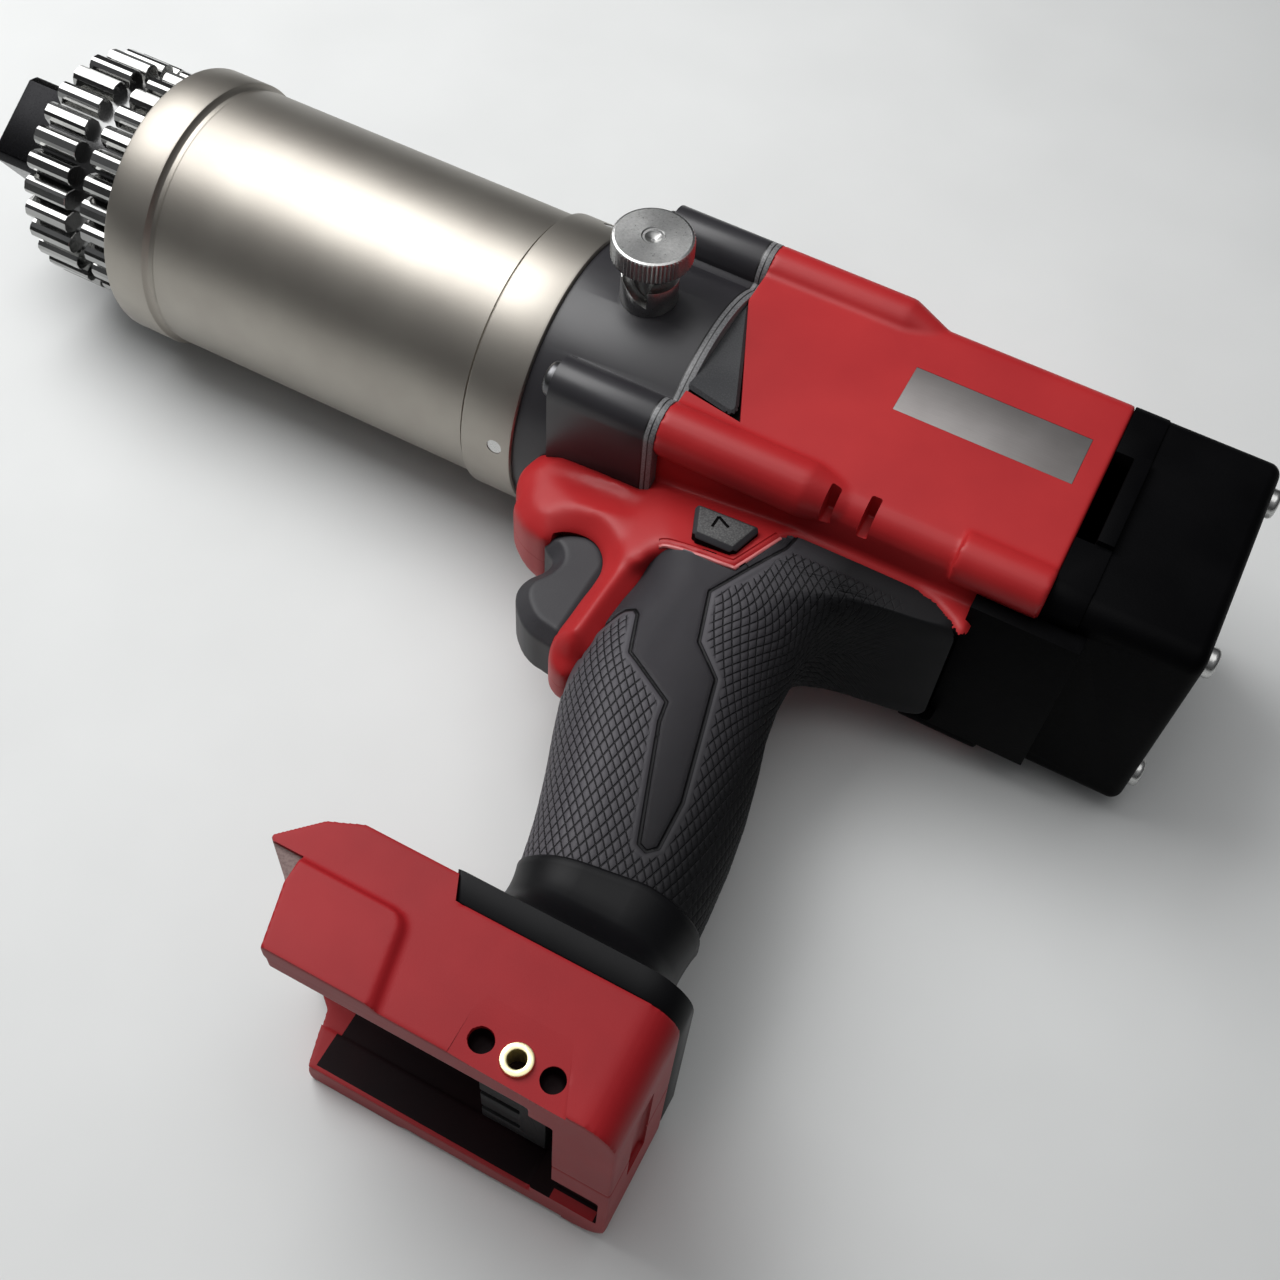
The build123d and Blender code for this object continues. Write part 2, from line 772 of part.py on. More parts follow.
def slot_bars(x, length, inner_r, trim, mode):
    """Bars along the stator's slots, from the inner radius out."""
    with BuildSketch(across(x)) as face:
        with PolarLocations((inner_r + slot_outer_r - trim) / 2, stator_slots):
            Rectangle(slot_outer_r - trim - inner_r, slot_span - 2 * trim)
    extrude(face.sketch, amount=length, mode=mode)


with BuildPart() as stator_core:
    drum(stator_x, stator_length, stator_r)
    drum(stator_x, stator_length, stator_bore_r, Mode.SUBTRACT)
    slot_bars(stator_x, stator_length, stator_bore_r - slot_mouth, 0, Mode.SUBTRACT)
keep(stator_core, "stator_core")

with BuildPart() as stator_windings:
    bar_inner_r = stator_bore_r + slot_mouth
    slot_bars(stator_x - winding_overhang, stator_length + 2 * winding_overhang, bar_inner_r, fit_gap, Mode.ADD)
    for end_x in (stator_x - winding_overhang, stator_x + stator_length + slip_gap):
        end_length = winding_overhang - slip_gap
        drum(end_x, end_length, slot_outer_r - fit_gap)
        drum(end_x, end_length, bar_inner_r, Mode.SUBTRACT)
keep(stator_windings, "stator_windings")

with BuildPart() as motor_fan:
    drum(fan_x, fan_length, fan_hub_r)
    drum(fan_x, fan_plate, fan_r)
    with BuildSketch(across(fan_x)):
        with PolarLocations((fan_hub_r + fan_r) / 2 - fan_blade_thickness, fan_blades):
            Rectangle(fan_r - fan_hub_r, fan_blade_thickness)
    extrude(amount=fan_length)
    drum(fan_x, fan_length, shaft_r + fit_gap, Mode.SUBTRACT)
keep(motor_fan, "motor_fan")


def make_bearing(x, outer_r, inner_r, label):
    """Ball bearing drawn as two races with a shielded gap that holds them together."""
    with BuildPart() as bearing:
        drum(x, bearing_length, outer_r)
        drum(x, bearing_length, inner_r + fit_gap, Mode.SUBTRACT)
        for face_x in (x, x + bearing_length - axial_gap):
            with BuildSketch(across(face_x)) as groove:
                Circle(outer_r - bearing_race)
                Circle(inner_r + bearing_race, mode=Mode.SUBTRACT)
            extrude(groove.sketch, amount=axial_gap, mode=Mode.SUBTRACT)
    keep(bearing, label)


make_bearing(gasket_x - bearing_length, motor_bearing_r, shaft_r, "front_motor_bearing")
make_bearing(rear_bearing_x, rear_bearing_r, rear_bearing_shaft_r, "rear_motor_bearing")

# Handle core, grip and neck forms, shared by the clamshells, the rubber and the foot


def grip_section(drop, front, back, width, inset):
    """Rounded section of the grip at one level, taken in by an inset."""
    with BuildSketch(level(drop)) as face:
        with Locations(((front + back) / 2, 0)):
            RectangleRounded(back - front - 2 * inset, width - 2 * inset, (width - 2 * inset) * grip_round)
    return face.sketch


def grip_form(inset, top, mode=Mode.ADD):
    """Loft of the grip, taken in by an inset, from the given section down to the neck."""
    rows = list(zip(grip_levels, grip_fronts, grip_backs, grip_widths))[top:]
    loft([grip_section(*row, inset) for row in rows], mode=mode)


def flange_face(inset, corner):
    """Outline of the flange on the foot's top, taken in by an inset."""
    with BuildSketch(level(foot_top)) as face:
        with Locations(((neck_front + foot_back) / 2, 0)):
            RectangleRounded(foot_back - neck_front - 2 * inset, 2 * neck_half - 2 * inset, corner)
    return face.sketch


def neck_form(inset, mode=Mode.ADD):
    """Flare with a waist, from the grip's lower end to the foot's top."""
    upper = grip_section(grip_bottom, grip_fronts[-1], grip_backs[-1], grip_widths[-1], inset)
    waist = grip_section(grip_bottom + neck_waist_drop, *neck_waist, inset)
    loft([upper, waist, flange_face(inset, foot_corner)], mode=mode)


# Outline of the red handle root seen from the side: nose over the trigger, guard behind it
def from_opening(share):
    """Point placed from the centre of the trigger opening, in radii of the opening."""
    return (opening_x + share[0] * opening_r, opening_y + share[1] * opening_r)


nose_heel = (-nose_front + nose_edge, -nose_top)
nose_tip = (-nose_front, -nose_top - nose_tip_drop)
nose_lower = (-nose_front + nose_chin[0], -nose_top - nose_chin[1])
lip_front, lip_back = (from_opening(share) for share in lip_shares)
opening_crown = (opening_x, opening_y + opening_r)
opening_rear = (opening_x + opening_r, opening_y)
guard_inner = from_opening(guard_inner_share)
guard_toe = (opening_x + guard_toe_share * opening_r, -guard_drop + nose_edge)
guard_end = (grip_fronts[2], -guard_drop)
guard_outline = (
    guard_end,
    (grip_fronts[1] + rubber_wall, opening_y),
    (grip_fronts[1] + rubber_wall, -saddle_drop - nose_edge),
    (grip_fronts[1] + 2 * rubber_wall, -saddle_drop),
    (saddle_length - 2 * nose_edge, -saddle_drop),
    (saddle_length, -saddle_drop + 2 * nose_edge),
    (saddle_length, -barrel_half + nose_edge),
    (0, -barrel_half + nose_edge),
    (0, -nose_top),
    nose_heel,
)


def guard_face():
    with BuildSketch(handle) as face:
        with BuildLine():
            ThreePointArc(nose_heel, nose_tip, nose_lower)
            Line(nose_lower, lip_front)
            Line(lip_front, lip_back)
            crown_arc = ThreePointArc(lip_back, opening_crown, opening_rear)
            Line(crown_arc @ 1, guard_inner)
            Line(guard_inner, guard_toe)
            Line(guard_toe, guard_end)
            Polyline(*guard_outline)
        make_face()
    return face.sketch


def trigger_pocket():
    """Cuts the room for the trigger and its switch."""
    half = trigger_half + slip_gap
    handle_block((lip_back[0], pocket_back), (pocket_top, pocket_bottom), (-half, half), Mode.SUBTRACT)


clam_places = (
    (-nose_front + nose_screw_inset, -nose_top - nose_screw_drop, nose_screw_seat),
    (grip_backs[1] - grip_screw_inset, -saddle_drop - grip_screw_drop, grip_screw_seat),
    (grip_backs[-1] - heel_screw_inset, -grip_bottom + heel_screw_rise, heel_screw_seat),
    (bearing_wall_x + barrel_screw_gap - housing_x, barrel_half - barrel_screw_inset, barrel_screw_seat),
)


def clam_screw_holes(places):
    """Screw holes across the parting plane, with the heads sunk from the right."""
    for x, y, seat in places:
        cross_pin(x, y, (-seat, clam_reach), clam_screw_r + fit_gap, Mode.SUBTRACT)
        cross_pin(x, y, (-2 * foot_half, -seat), clam_head_r + slip_gap, Mode.SUBTRACT)


window_points = ((0, window_rise), (0, -window_drop), (window_length, -window_tip_drop))


def window_prism(side, low, high, inset, mode=Mode.ADD):
    """Triangular prism behind the gasket, on the left (1) or the right (-1)."""
    with BuildSketch(Plane((housing_x, 0, side * low))) as face:
        with BuildLine():
            Polyline(*window_points, close=True)
        make_face()
        if inset:
            offset(amount=-inset, mode=Mode.REPLACE)
    extrude(face.sketch, amount=side * (high - low), mode=mode)


def button_face(gap):
    """Outline of the direction button's bar, or of its hole when a gap is given."""
    half_top = button_length / 2 + gap
    half_low = half_top - button_slant
    half_height = button_height / 2 + gap
    with BuildSketch(handle) as face:
        with BuildLine():
            Polyline(
                (button_x - half_top, button_y + half_height),
                (button_x + half_top, button_y + half_height),
                (button_x + half_low, button_y - half_height),
                (button_x - half_low, button_y - half_height),
                close=True,
            )
        make_face()
    return face.sketch


with BuildPart() as housing:
    rounded_bar(housing_x, housing_length, barrel_half, barrel_corner)
    bolt_row(housing_x, rib_length, bolt_half, boss_r, Mode.ADD)
    for side_y in (-1, 1):
        for side_z in (-1, 1):
            with BuildSketch(across(housing_x + rib_length)) as rib_start:
                with Locations((side_y * bolt_half, side_z * bolt_half)):
                    Circle(boss_r)
            with BuildSketch(across(housing_x + rib_length + rib_fade)) as rib_end:
                with Locations((side_y * rib_end_half, side_z * rib_end_half)):
                    Circle(rib_end_r)
            loft([rib_start.sketch, rib_end.sketch])
        with BuildSketch(across(belt_x - rear_boss_length)) as rear_boss:
            with Locations((-rear_boss_half, side_y * rear_boss_half)):
                Circle(rear_boss_r)
        extrude(rear_boss.sketch, amount=rear_boss_length)
    extrude(guard_face(), amount=nose_half, both=True)
    handle_block((0, saddle_length), (barrel_half - nose_edge, saddle_drop), (-saddle_half, saddle_half))
    grip_form(rubber_wall, 0)
    drum(housing_x, bearing_wall_x - housing_x, stator_r + fit_gap, Mode.SUBTRACT)
    drum(bearing_wall_x, bearing_wall, rear_bearing_r - bearing_race, Mode.SUBTRACT)
    drum(rear_bearing_x, bearing_length, rear_bearing_r + fit_gap, Mode.SUBTRACT)
    rounded_bar(rear_room_x, rear_room_length, barrel_half - belt_wall, barrel_corner, Mode.SUBTRACT)
    bolt_row(rear_room_x, rear_room_length, cover_screw_half, cover_post_r, Mode.ADD)
    bolt_row(belt_x - cover_screw_reach, cover_screw_reach, cover_screw_half, cover_screw_r + fit_gap)
    grip_form(rubber_wall + core_wall, 1, Mode.SUBTRACT)
    trigger_pocket()
    bolt_row(housing_x, bolt_reach + axial_gap, bolt_half, bolt_r + fit_gap)
    lip_x = belt_x - lip_length - slip_gap
    block(
        (lip_x, -barrel_half - rear_boss_r, -lip_half - slip_gap),
        (belt_x, -barrel_half + lip_height + slip_gap, lip_half + slip_gap),
        Mode.SUBTRACT,
    )
    for side in (1, -1):
        window_prism(side, barrel_half - window_depth, barrel_half + boss_r, 0, Mode.SUBTRACT)
    for vent_x in vent_offsets:
        for side_z in (-1, 1):
            with Locations((housing_x + vent_x, -barrel_half + vent_length / 2, side_z * barrel_half)):
                Box(vent_width, vent_length, 2 * vent_depth, mode=Mode.SUBTRACT)
    plate_end = belt_x - plate_inset
    block(
        (plate_end - plate_length - fit_gap, -plate_drop - fit_gap, barrel_half - plate_thickness),
        (plate_end + fit_gap, plate_rise + fit_gap, barrel_half + plate_thickness),
        Mode.SUBTRACT,
    )
    extrude(button_face(slip_gap), amount=saddle_half + slip_gap, both=True, mode=Mode.SUBTRACT)
    post_r = clam_head_r + slip_gap + clam_post_wall
    for clam_x, clam_y, seat in clam_places[1:3]:
        cross_pin(clam_x, clam_y, (-clam_reach - edge_break, clam_reach + edge_break), post_r)
    clam_screw_holes(clam_places)

with BuildPart() as housing_left:
    add(housing.part)
    split(bisect_by=Plane.XY, keep=Keep.TOP)
keep(housing_left, "housing_left")

with BuildPart() as housing_right:
    add(housing.part)
    split(bisect_by=Plane.XY, keep=Keep.BOTTOM)
keep(housing_right, "housing_right")

with BuildPart() as window_insert_left:
    window_prism(1, barrel_half - window_depth, barrel_half - window_depth + insert_thickness, fit_gap)
keep(window_insert_left, "window_insert_left")

with BuildPart() as window_insert_right:
    window_prism(-1, barrel_half - window_depth, barrel_half - window_depth + insert_thickness, fit_gap)
keep(window_insert_right, "window_insert_right")

with BuildPart() as name_plate:
    block(
        (plate_end - plate_length, -plate_drop, barrel_half - plate_thickness),
        (plate_end, plate_rise, barrel_half),
    )
keep(name_plate, "name_plate")

# Rear belt, with a slot and a raised bar on each side, and the cover behind it
with BuildPart() as rear_belt:
    rounded_bar(belt_x, belt_length, barrel_half, barrel_corner)
    rounded_bar(belt_x, belt_length, barrel_half - belt_wall, barrel_corner, Mode.SUBTRACT)
    bolt_row(belt_x, belt_length, cover_screw_half, cover_post_r, Mode.ADD)
    bolt_row(belt_x, belt_length, cover_screw_half, cover_screw_r + fit_gap)
    for side in (1, -1):
        face_z = sorted((side * (barrel_half - slot_depth), side * (barrel_half + bar_rise)))
        block((belt_x, -slot_half, face_z[0]), (belt_x + slot_width, slot_half, face_z[1]), Mode.SUBTRACT)
        bar_z = sorted((side * (barrel_half - belt_wall), side * (barrel_half + bar_rise)))
        block((belt_x + slot_width, -slot_half, bar_z[0]), (cover_x, slot_half, bar_z[1]))
    block(
        (belt_x, -barrel_half - bar_rise, -lip_half - slip_gap),
        (cover_x, -barrel_half + lip_height + slip_gap, lip_half + slip_gap),
        Mode.SUBTRACT,
    )
keep(rear_belt, "rear_belt")

with BuildPart() as rear_cover:
    rounded_bar(cover_x, cover_length, cover_half, cover_corner)
    fillet(rear_cover.faces().sort_by(Axis.X)[-1].edges(), cover_wall)
    room = cover_half - cover_wall
    rounded_bar(cover_x, cover_length - cover_wall, room, cover_corner - cover_wall / 2, Mode.SUBTRACT)
    bolt_row(cover_x, cover_length - cover_wall, cover_screw_half, cover_post_r, Mode.ADD)
    block(
        (belt_x - lip_length, -cover_half - lip_drop, -lip_half),
        (cover_x + cover_wall, -barrel_half + lip_height, lip_half),
    )
    bolt_row(cover_x, cover_length, cover_screw_half, cover_screw_r + fit_gap)
keep(rear_cover, "rear_cover")

with BuildPart() as rear_cover_screws:
    screw_x = belt_x - cover_screw_reach + axial_gap
    bolt_row(screw_x, cover_end - screw_x, cover_screw_half, cover_screw_r, Mode.ADD)
    bolt_row(cover_end, cover_head_height, cover_screw_half, cover_head_r, Mode.ADD)
    fillet(rear_cover_screws.faces().filter_by(Axis.X).group_by(Axis.X)[-1].edges(), cover_head_height / 2)
keep(rear_cover_screws, "rear_cover_screws")

board_x = cover_x + board_offset
with BuildPart() as control_board:
    rounded_bar(board_x, board_thickness, room - slip_gap, cover_corner - cover_wall / 2)
    bolt_row(board_x, board_thickness, cover_screw_half, cover_post_r + slip_gap)
    with BuildSketch(across(board_x + board_thickness)):
        with Locations((0, capacitor_spacing), (0, 0), (0, -capacitor_spacing)):
            Circle(capacitor_r)
    extrude(amount=capacitor_length)
keep(control_board, "control_board")

# Grip: rubber over the core, with the neck down to the foot, and a smooth inlay on each side
inlay_outline = (
    (12.2, -saddle_drop - inlay_depth / 2),
    (9.5, -52.0),
    (9.0, -62.0),
    (11.4, -69.7),
    (18.0, -78.9),
    (31.1, -87.5),
    (32.0, -92.6),
    (41.3, -119.4),
    (45.4, -118.4),
    (44.8, -107.1),
    (40.3, -87.9),
    (37.8, -77.9),
    (30.0, -70.6),
    (26.9, -59.4),
    (33.1, -saddle_drop - inlay_depth / 2),
)


def make_inlay(side, label):
    with BuildPart() as inlay:
        grip_form(-inlay_proud, 0)
        with BuildSketch(handle) as patch:
            with BuildLine():
                Polyline(*inlay_outline, close=True)
            make_face()
        extrude(patch.sketch, amount=side * grip_widths[0], mode=Mode.INTERSECT)
        grip_form(inlay_depth, 0, Mode.SUBTRACT)
        trigger_pocket()
    keep(inlay, label)
    return inlay.part


inlay_left = make_inlay(1, "grip_inlay_left")
inlay_right = make_inlay(-1, "grip_inlay_right")

with BuildPart() as grip_rubber:
    grip_form(0, 0)
    neck_form(0)
    with BuildSketch(handle):
        with BuildLine():
            Polyline(
                (saddle_length - nose_edge, -barrel_half + nose_edge),
                (saddle_length - nose_edge, -barrel_half - under_pad_thickness),
                (lip_x - housing_x - slip_gap, -barrel_half - under_pad_heel),
                (lip_x - housing_x - slip_gap, -barrel_half + nose_edge),
                close=True,
            )
        make_face()
    extrude(amount=under_pad_half, both=True)
    extrude(flange_face(0, foot_corner), amount=flange_drop)
    flange_drops = (foot_top, foot_top + flange_drop)
    handle_block((neck_front, neck_front + foot_corner), flange_drops, (-neck_half, neck_half))
    grip_form(rubber_wall, 0, Mode.SUBTRACT)
    neck_form(rubber_wall, Mode.SUBTRACT)
    extrude(flange_face(rubber_wall, foot_corner), amount=flange_drop, mode=Mode.SUBTRACT)
    extrude(guard_face(), amount=nose_half, both=True, mode=Mode.SUBTRACT)
    handle_block((0, saddle_length), (0, saddle_drop), (-foot_half, foot_half), Mode.SUBTRACT)
    rounded_bar(housing_x, housing_length, barrel_half, barrel_corner, Mode.SUBTRACT)
    trigger_pocket()
    for clam_x, clam_y, seat in clam_places[1:3]:
        cross_pin(clam_x, clam_y, (-2 * foot_half, -seat), clam_head_r + slip_gap, Mode.SUBTRACT)
    add(inlay_left, mode=Mode.SUBTRACT)
    add(inlay_right, mode=Mode.SUBTRACT)

with BuildPart() as grip_rubber_left:
    add(grip_rubber.part)
    split(bisect_by=Plane.XY, keep=Keep.TOP)
keep(grip_rubber_left, "grip_rubber_left")

with BuildPart() as grip_rubber_right:
    add(grip_rubber.part)
    split(bisect_by=Plane.XY, keep=Keep.BOTTOM)
keep(grip_rubber_right, "grip_rubber_right")

# Trigger, its spring and the switch behind it
trigger_back = opening_x + opening_r + rubber_wall
switch_x = trigger_back + trigger_travel + axial_gap
trigger_hollow = [from_opening(share) for share in trigger_hollow_shares]
trigger_brow = from_opening(trigger_brow_share)
trigger_toe = from_opening(trigger_toe_share)
trigger_shoulder = from_opening(trigger_shoulder_share)
trigger_crown = (opening_x, opening_y + opening_r - trigger_gap)
trigger_heel = (trigger_back, -pocket_bottom + trigger_heel_rise)
with BuildPart() as trigger:
    with BuildSketch(handle):
        with BuildLine():
            Spline(trigger_brow, *trigger_hollow, trigger_toe)
            Polyline(trigger_toe, trigger_heel, (trigger_back, trigger_shoulder[1]), trigger_shoulder)
            ThreePointArc(trigger_shoulder, trigger_crown, trigger_brow)
        make_face()
    extrude(amount=trigger_half, both=True)
    spring_seat = switch_x - spring_length
    with BuildSketch(across(housing_x + spring_seat)):
        with Locations((spring_y, 0)):
            Circle(spring_r + spring_wire_r + slip_gap)
    extrude(amount=trigger_back - spring_seat, mode=Mode.SUBTRACT)
keep(trigger, "trigger")

with BuildPart() as trigger_spring:
    coil_length = spring_length - 2 * spring_wire_r - 2 * fit_gap
    coil_start = housing_x + spring_seat + spring_wire_r + fit_gap
    with BuildLine() as coil:
        Helix(coil_length / spring_turns, coil_length, spring_r, (coil_start, spring_y, 0), (1, 0, 0))
    with BuildSketch(Plane(coil.line @ 0, z_dir=coil.line % 0)):
        Circle(spring_wire_r)
    sweep(path=coil.line)
keep(trigger_spring, "trigger_spring")

with BuildPart() as trigger_switch:
    handle_block((switch_x, switch_x + switch_length), (switch_top, switch_bottom), (-switch_half, switch_half))
keep(trigger_switch, "trigger_switch")

with BuildPart() as direction_button:
    extrude(button_face(0), amount=saddle_half + button_proud, both=True)
keep(direction_button, "direction_button")

# Battery foot: visor, raised front pads, bay with rails, and the core of the neck
foot_outline = (
    (foot_front, -foot_top - visor_drop),
    (foot_front + visor_brow[0], -foot_top - visor_brow[1]),
    (foot_front + visor_crown, -foot_top),
    (foot_back, -foot_top),
    (foot_back, -foot_bottom),
    (foot_front + visor_reach + foot_rake, -foot_bottom),
    (foot_front + visor_reach, -foot_top - visor_depth),
)
foot_screw_places = (
    (foot_screw_front_x, -foot_top - foot_screw_drops[0], foot_screw_seat),
    (foot_screw_x, -foot_top - foot_screw_drops[1], foot_screw_seat),
    (foot_screw_x, -foot_bottom + foot_screw_rise, foot_screw_seat),
)
insert_y = -foot_bottom + insert_rise
with BuildPart() as battery_foot:
    with BuildSketch(handle):
        with BuildLine():
            Polyline(*foot_outline, close=True)
        make_face()
    extrude(amount=foot_half, both=True)
    rear_edges = battery_foot.edges().filter_by(Axis.Y).group_by(Axis.X)[-1]
    fillet(rear_edges, foot_corner)
    for side in (1, -1):
        with BuildSketch(Plane((housing_x, 0, side * foot_half))):
            with BuildLine():
                Polyline(*foot_outline, close=True)
            make_face()
            with Locations(((foot_front + pad_back) / 2, -(foot_top + pad_top + foot_bottom) / 2)):
                Rectangle(pad_back - foot_front, foot_height - pad_top, mode=Mode.INTERSECT)
        extrude(amount=side * pad_rise)
    handle_block(
        (neck_front - fit_gap, foot_back + pad_rise),
        (foot_top - flange_drop, foot_top + flange_drop),
        (-foot_half - pad_rise, foot_half + pad_rise),
        Mode.SUBTRACT,
    )
    extrude(flange_face(rubber_wall, foot_corner), amount=flange_drop)
    neck_form(rubber_wall)
    handle_block(
        (foot_front, bay_back),
        (foot_bottom - bay_depth, foot_bottom),
        (-bay_half, bay_half),
        Mode.SUBTRACT,
    )
    rail_half = bay_half + rail_depth
    rail_low = foot_bottom - rail_bottom
    rail_drops = (rail_low - rail_height, rail_low)
    handle_block((foot_front, bay_back), rail_drops, (-rail_half, rail_half), Mode.SUBTRACT)
    handle_block(
        (wire_front, wire_back),
        (grip_bottom, foot_bottom - bay_depth),
        (-wire_half, wire_half),
        Mode.SUBTRACT,
    )
    cross_pin(insert_x, insert_y, (foot_half - insert_length, foot_half), insert_r + fit_gap, Mode.SUBTRACT)
    for side in (1, -1):
        peg_x = insert_x + side * peg_spacing / 2
        cross_pin(peg_x, insert_y, (foot_half - peg_depth, foot_half), peg_r, Mode.SUBTRACT)
    clam_screw_holes(foot_screw_places)

with BuildPart() as battery_foot_left:
    add(battery_foot.part)
    split(bisect_by=Plane.XY, keep=Keep.TOP)
keep(battery_foot_left, "battery_foot_left")

with BuildPart() as battery_foot_right:
    add(battery_foot.part)
    split(bisect_by=Plane.XY, keep=Keep.BOTTOM)
keep(battery_foot_right, "battery_foot_right")

with BuildPart() as clamshell_screws:
    for clam_x, clam_y, seat in clam_places + foot_screw_places:
        cross_pin(clam_x, clam_y, (-seat, clam_reach - slip_gap), clam_screw_r)
        cross_pin(clam_x, clam_y, (-seat - clam_head_height, -seat), clam_head_r)
keep(clamshell_screws, "clamshell_screws")

with BuildPart() as clip_insert:
    cross_pin(insert_x, insert_y, (foot_half - insert_length, foot_half), insert_r)
    cross_pin(insert_x, insert_y, (foot_half - insert_length, foot_half), insert_bore_r, Mode.SUBTRACT)
keep(clip_insert, "clip_insert")

# Battery contacts: slotted block under the bay's roof, and blades in the slots
bay_roof = foot_bottom - bay_depth
terminal_x = bay_back - terminal_length
blade_places = [blade_spacing * (place - (blade_count - 1) / 2) for place in range(blade_count)]
slot_end = terminal_x + blade_length
with BuildPart() as terminal_block:
    handle_block((terminal_x, bay_back), (bay_roof, bay_roof + terminal_height), (-terminal_half, terminal_half))
    for blade_z in blade_places:
        slot_z = (blade_z - blade_slot / 2, blade_z + blade_slot / 2)
        slot_low = bay_roof + terminal_height
        handle_block((terminal_x, slot_end), (slot_low - blade_height, slot_low), slot_z, Mode.SUBTRACT)
keep(terminal_block, "terminal_block")

with BuildPart() as terminal_blades:
    for blade_z in blade_places:
        plate_z = (blade_z - blade_thickness / 2, blade_z + blade_thickness / 2)
        blade_low = bay_roof + terminal_height - axial_gap
        blade_drops = (blade_low - blade_height + axial_gap, blade_low)
        handle_block((terminal_x + axial_gap, slot_end), blade_drops, plate_z)
keep(terminal_blades, "terminal_blades")

# Power leads from the contacts up through the grip to the switch
lead_bottom_x = (wire_front + wire_back) / 2
lead_top_x = switch_x + lead_inset
with BuildPart() as power_leads:
    for side in (1, -1):
        with BuildLine(Plane((housing_x, 0, side * lead_half))) as route:
            Bezier(
                (lead_bottom_x, -bay_roof + fit_gap),
                (lead_bottom_x, -grip_levels[3]),
                (lead_top_x, -grip_levels[3]),
                (lead_top_x, -switch_bottom - fit_gap),
            )
        with BuildSketch(Plane(route.line @ 0, z_dir=route.line % 0)):
            Circle(lead_r)
        sweep(path=route.line)
keep(power_leads, "power_leads")
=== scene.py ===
import json
import math

import bpy
import numpy as np
from mathutils import Matrix, Vector


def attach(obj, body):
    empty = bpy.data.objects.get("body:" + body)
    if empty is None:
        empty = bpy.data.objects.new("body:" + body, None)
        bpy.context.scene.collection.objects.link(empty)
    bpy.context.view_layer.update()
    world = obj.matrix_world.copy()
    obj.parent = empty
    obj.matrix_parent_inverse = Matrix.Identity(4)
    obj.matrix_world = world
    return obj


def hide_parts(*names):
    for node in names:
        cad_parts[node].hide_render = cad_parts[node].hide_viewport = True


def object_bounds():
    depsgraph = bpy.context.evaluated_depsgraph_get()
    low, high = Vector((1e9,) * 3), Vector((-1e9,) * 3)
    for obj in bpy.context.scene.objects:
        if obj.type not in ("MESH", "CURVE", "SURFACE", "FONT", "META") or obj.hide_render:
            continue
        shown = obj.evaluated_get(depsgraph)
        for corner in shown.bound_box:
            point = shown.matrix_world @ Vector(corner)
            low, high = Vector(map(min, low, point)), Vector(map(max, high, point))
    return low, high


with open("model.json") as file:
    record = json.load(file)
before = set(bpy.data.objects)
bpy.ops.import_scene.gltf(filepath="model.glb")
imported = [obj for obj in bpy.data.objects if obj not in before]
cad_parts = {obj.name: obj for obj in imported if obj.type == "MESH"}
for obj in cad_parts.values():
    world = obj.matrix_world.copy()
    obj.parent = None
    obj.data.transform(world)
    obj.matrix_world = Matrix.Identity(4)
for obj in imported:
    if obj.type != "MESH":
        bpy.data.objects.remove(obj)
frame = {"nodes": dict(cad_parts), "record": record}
cad_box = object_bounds()
scene = bpy.context.scene
nodes = frame["nodes"]
slot_of = {row["node"]: row["material_slot"] for row in frame["record"]["subparts"]}

# Sizes below are in millimetres, in the model's frame: X to the rear, Y to the top, Z to the left
MM = 0.001
NO_LIMIT = math.inf
SIDES = {"left": 1, "right": -1}  # of the parting plane, by the sign of Z
GASKET_X = 160.3  # rear face of the gasket
BOLT_REACH = 29.5  # collar bolts and corner ribs, from the axis in Y and in Z
KNOB_X = 140.1


# Tools of the bench: selecting, modifiers and starting forms

def clear_selection():
    if bpy.context.object and bpy.context.object.mode != "OBJECT":
        bpy.ops.object.mode_set(mode="OBJECT")
    bpy.ops.object.select_all(action="DESELECT")


def pick(piece):
    clear_selection()
    piece.select_set(True)
    bpy.context.view_layer.objects.active = piece


def named(piece, name):
    piece.name = name
    piece.data.name = name
    return piece


def fresh(name):
    """The primitive just added, with its place in its mesh."""
    piece = named(bpy.context.object, name)
    bpy.ops.object.transform_apply(location=True, rotation=True, scale=True)
    return piece


def modify(piece, kind, **settings):
    """Adds a modifier, sets it and applies it."""
    pick(piece)
    modifier = piece.modifiers.new(kind.lower(), kind)
    for key, value in settings.items():
        setattr(modifier, key, value)
    bpy.ops.object.modifier_apply(modifier=modifier.name)


def in_edit_mode(piece, *steps, chosen=False):
    """Runs edit-mode steps on the whole of a piece, or on the faces chosen before."""
    pick(piece)
    bpy.ops.object.mode_set(mode="EDIT")
    if not chosen:
        bpy.ops.mesh.select_all(action="SELECT")
    for step in steps:
        step()
    bpy.ops.object.mode_set(mode="OBJECT")


def points_of(piece):
    co = np.empty(len(piece.data.vertices) * 3)
    piece.data.vertices.foreach_get("co", co)
    return co.reshape(-1, 3)


def place_points(piece, co):
    piece.data.vertices.foreach_set("co", np.asarray(co, float).ravel())
    piece.data.update()


def shifted(piece, by):
    place_points(piece, points_of(piece) + np.array(by) * MM)
    return piece


def choose(piece, wanted):
    """Selects the faces that a mask names, ready for edit mode."""
    mesh = piece.data
    for group in (mesh.vertices, mesh.edges, mesh.polygons):
        group.foreach_set("select", np.zeros(len(group), bool))
    mesh.polygons.foreach_set("select", np.asarray(wanted, bool))


def of_faces(piece, what):
    values = np.empty(len(piece.data.polygons) * 3)
    piece.data.polygons.foreach_get(what, values)
    return values.reshape(-1, 3)


def face_centres(piece):
    """Middles of a piece's faces, in millimetres."""
    return of_faces(piece, "center") / MM


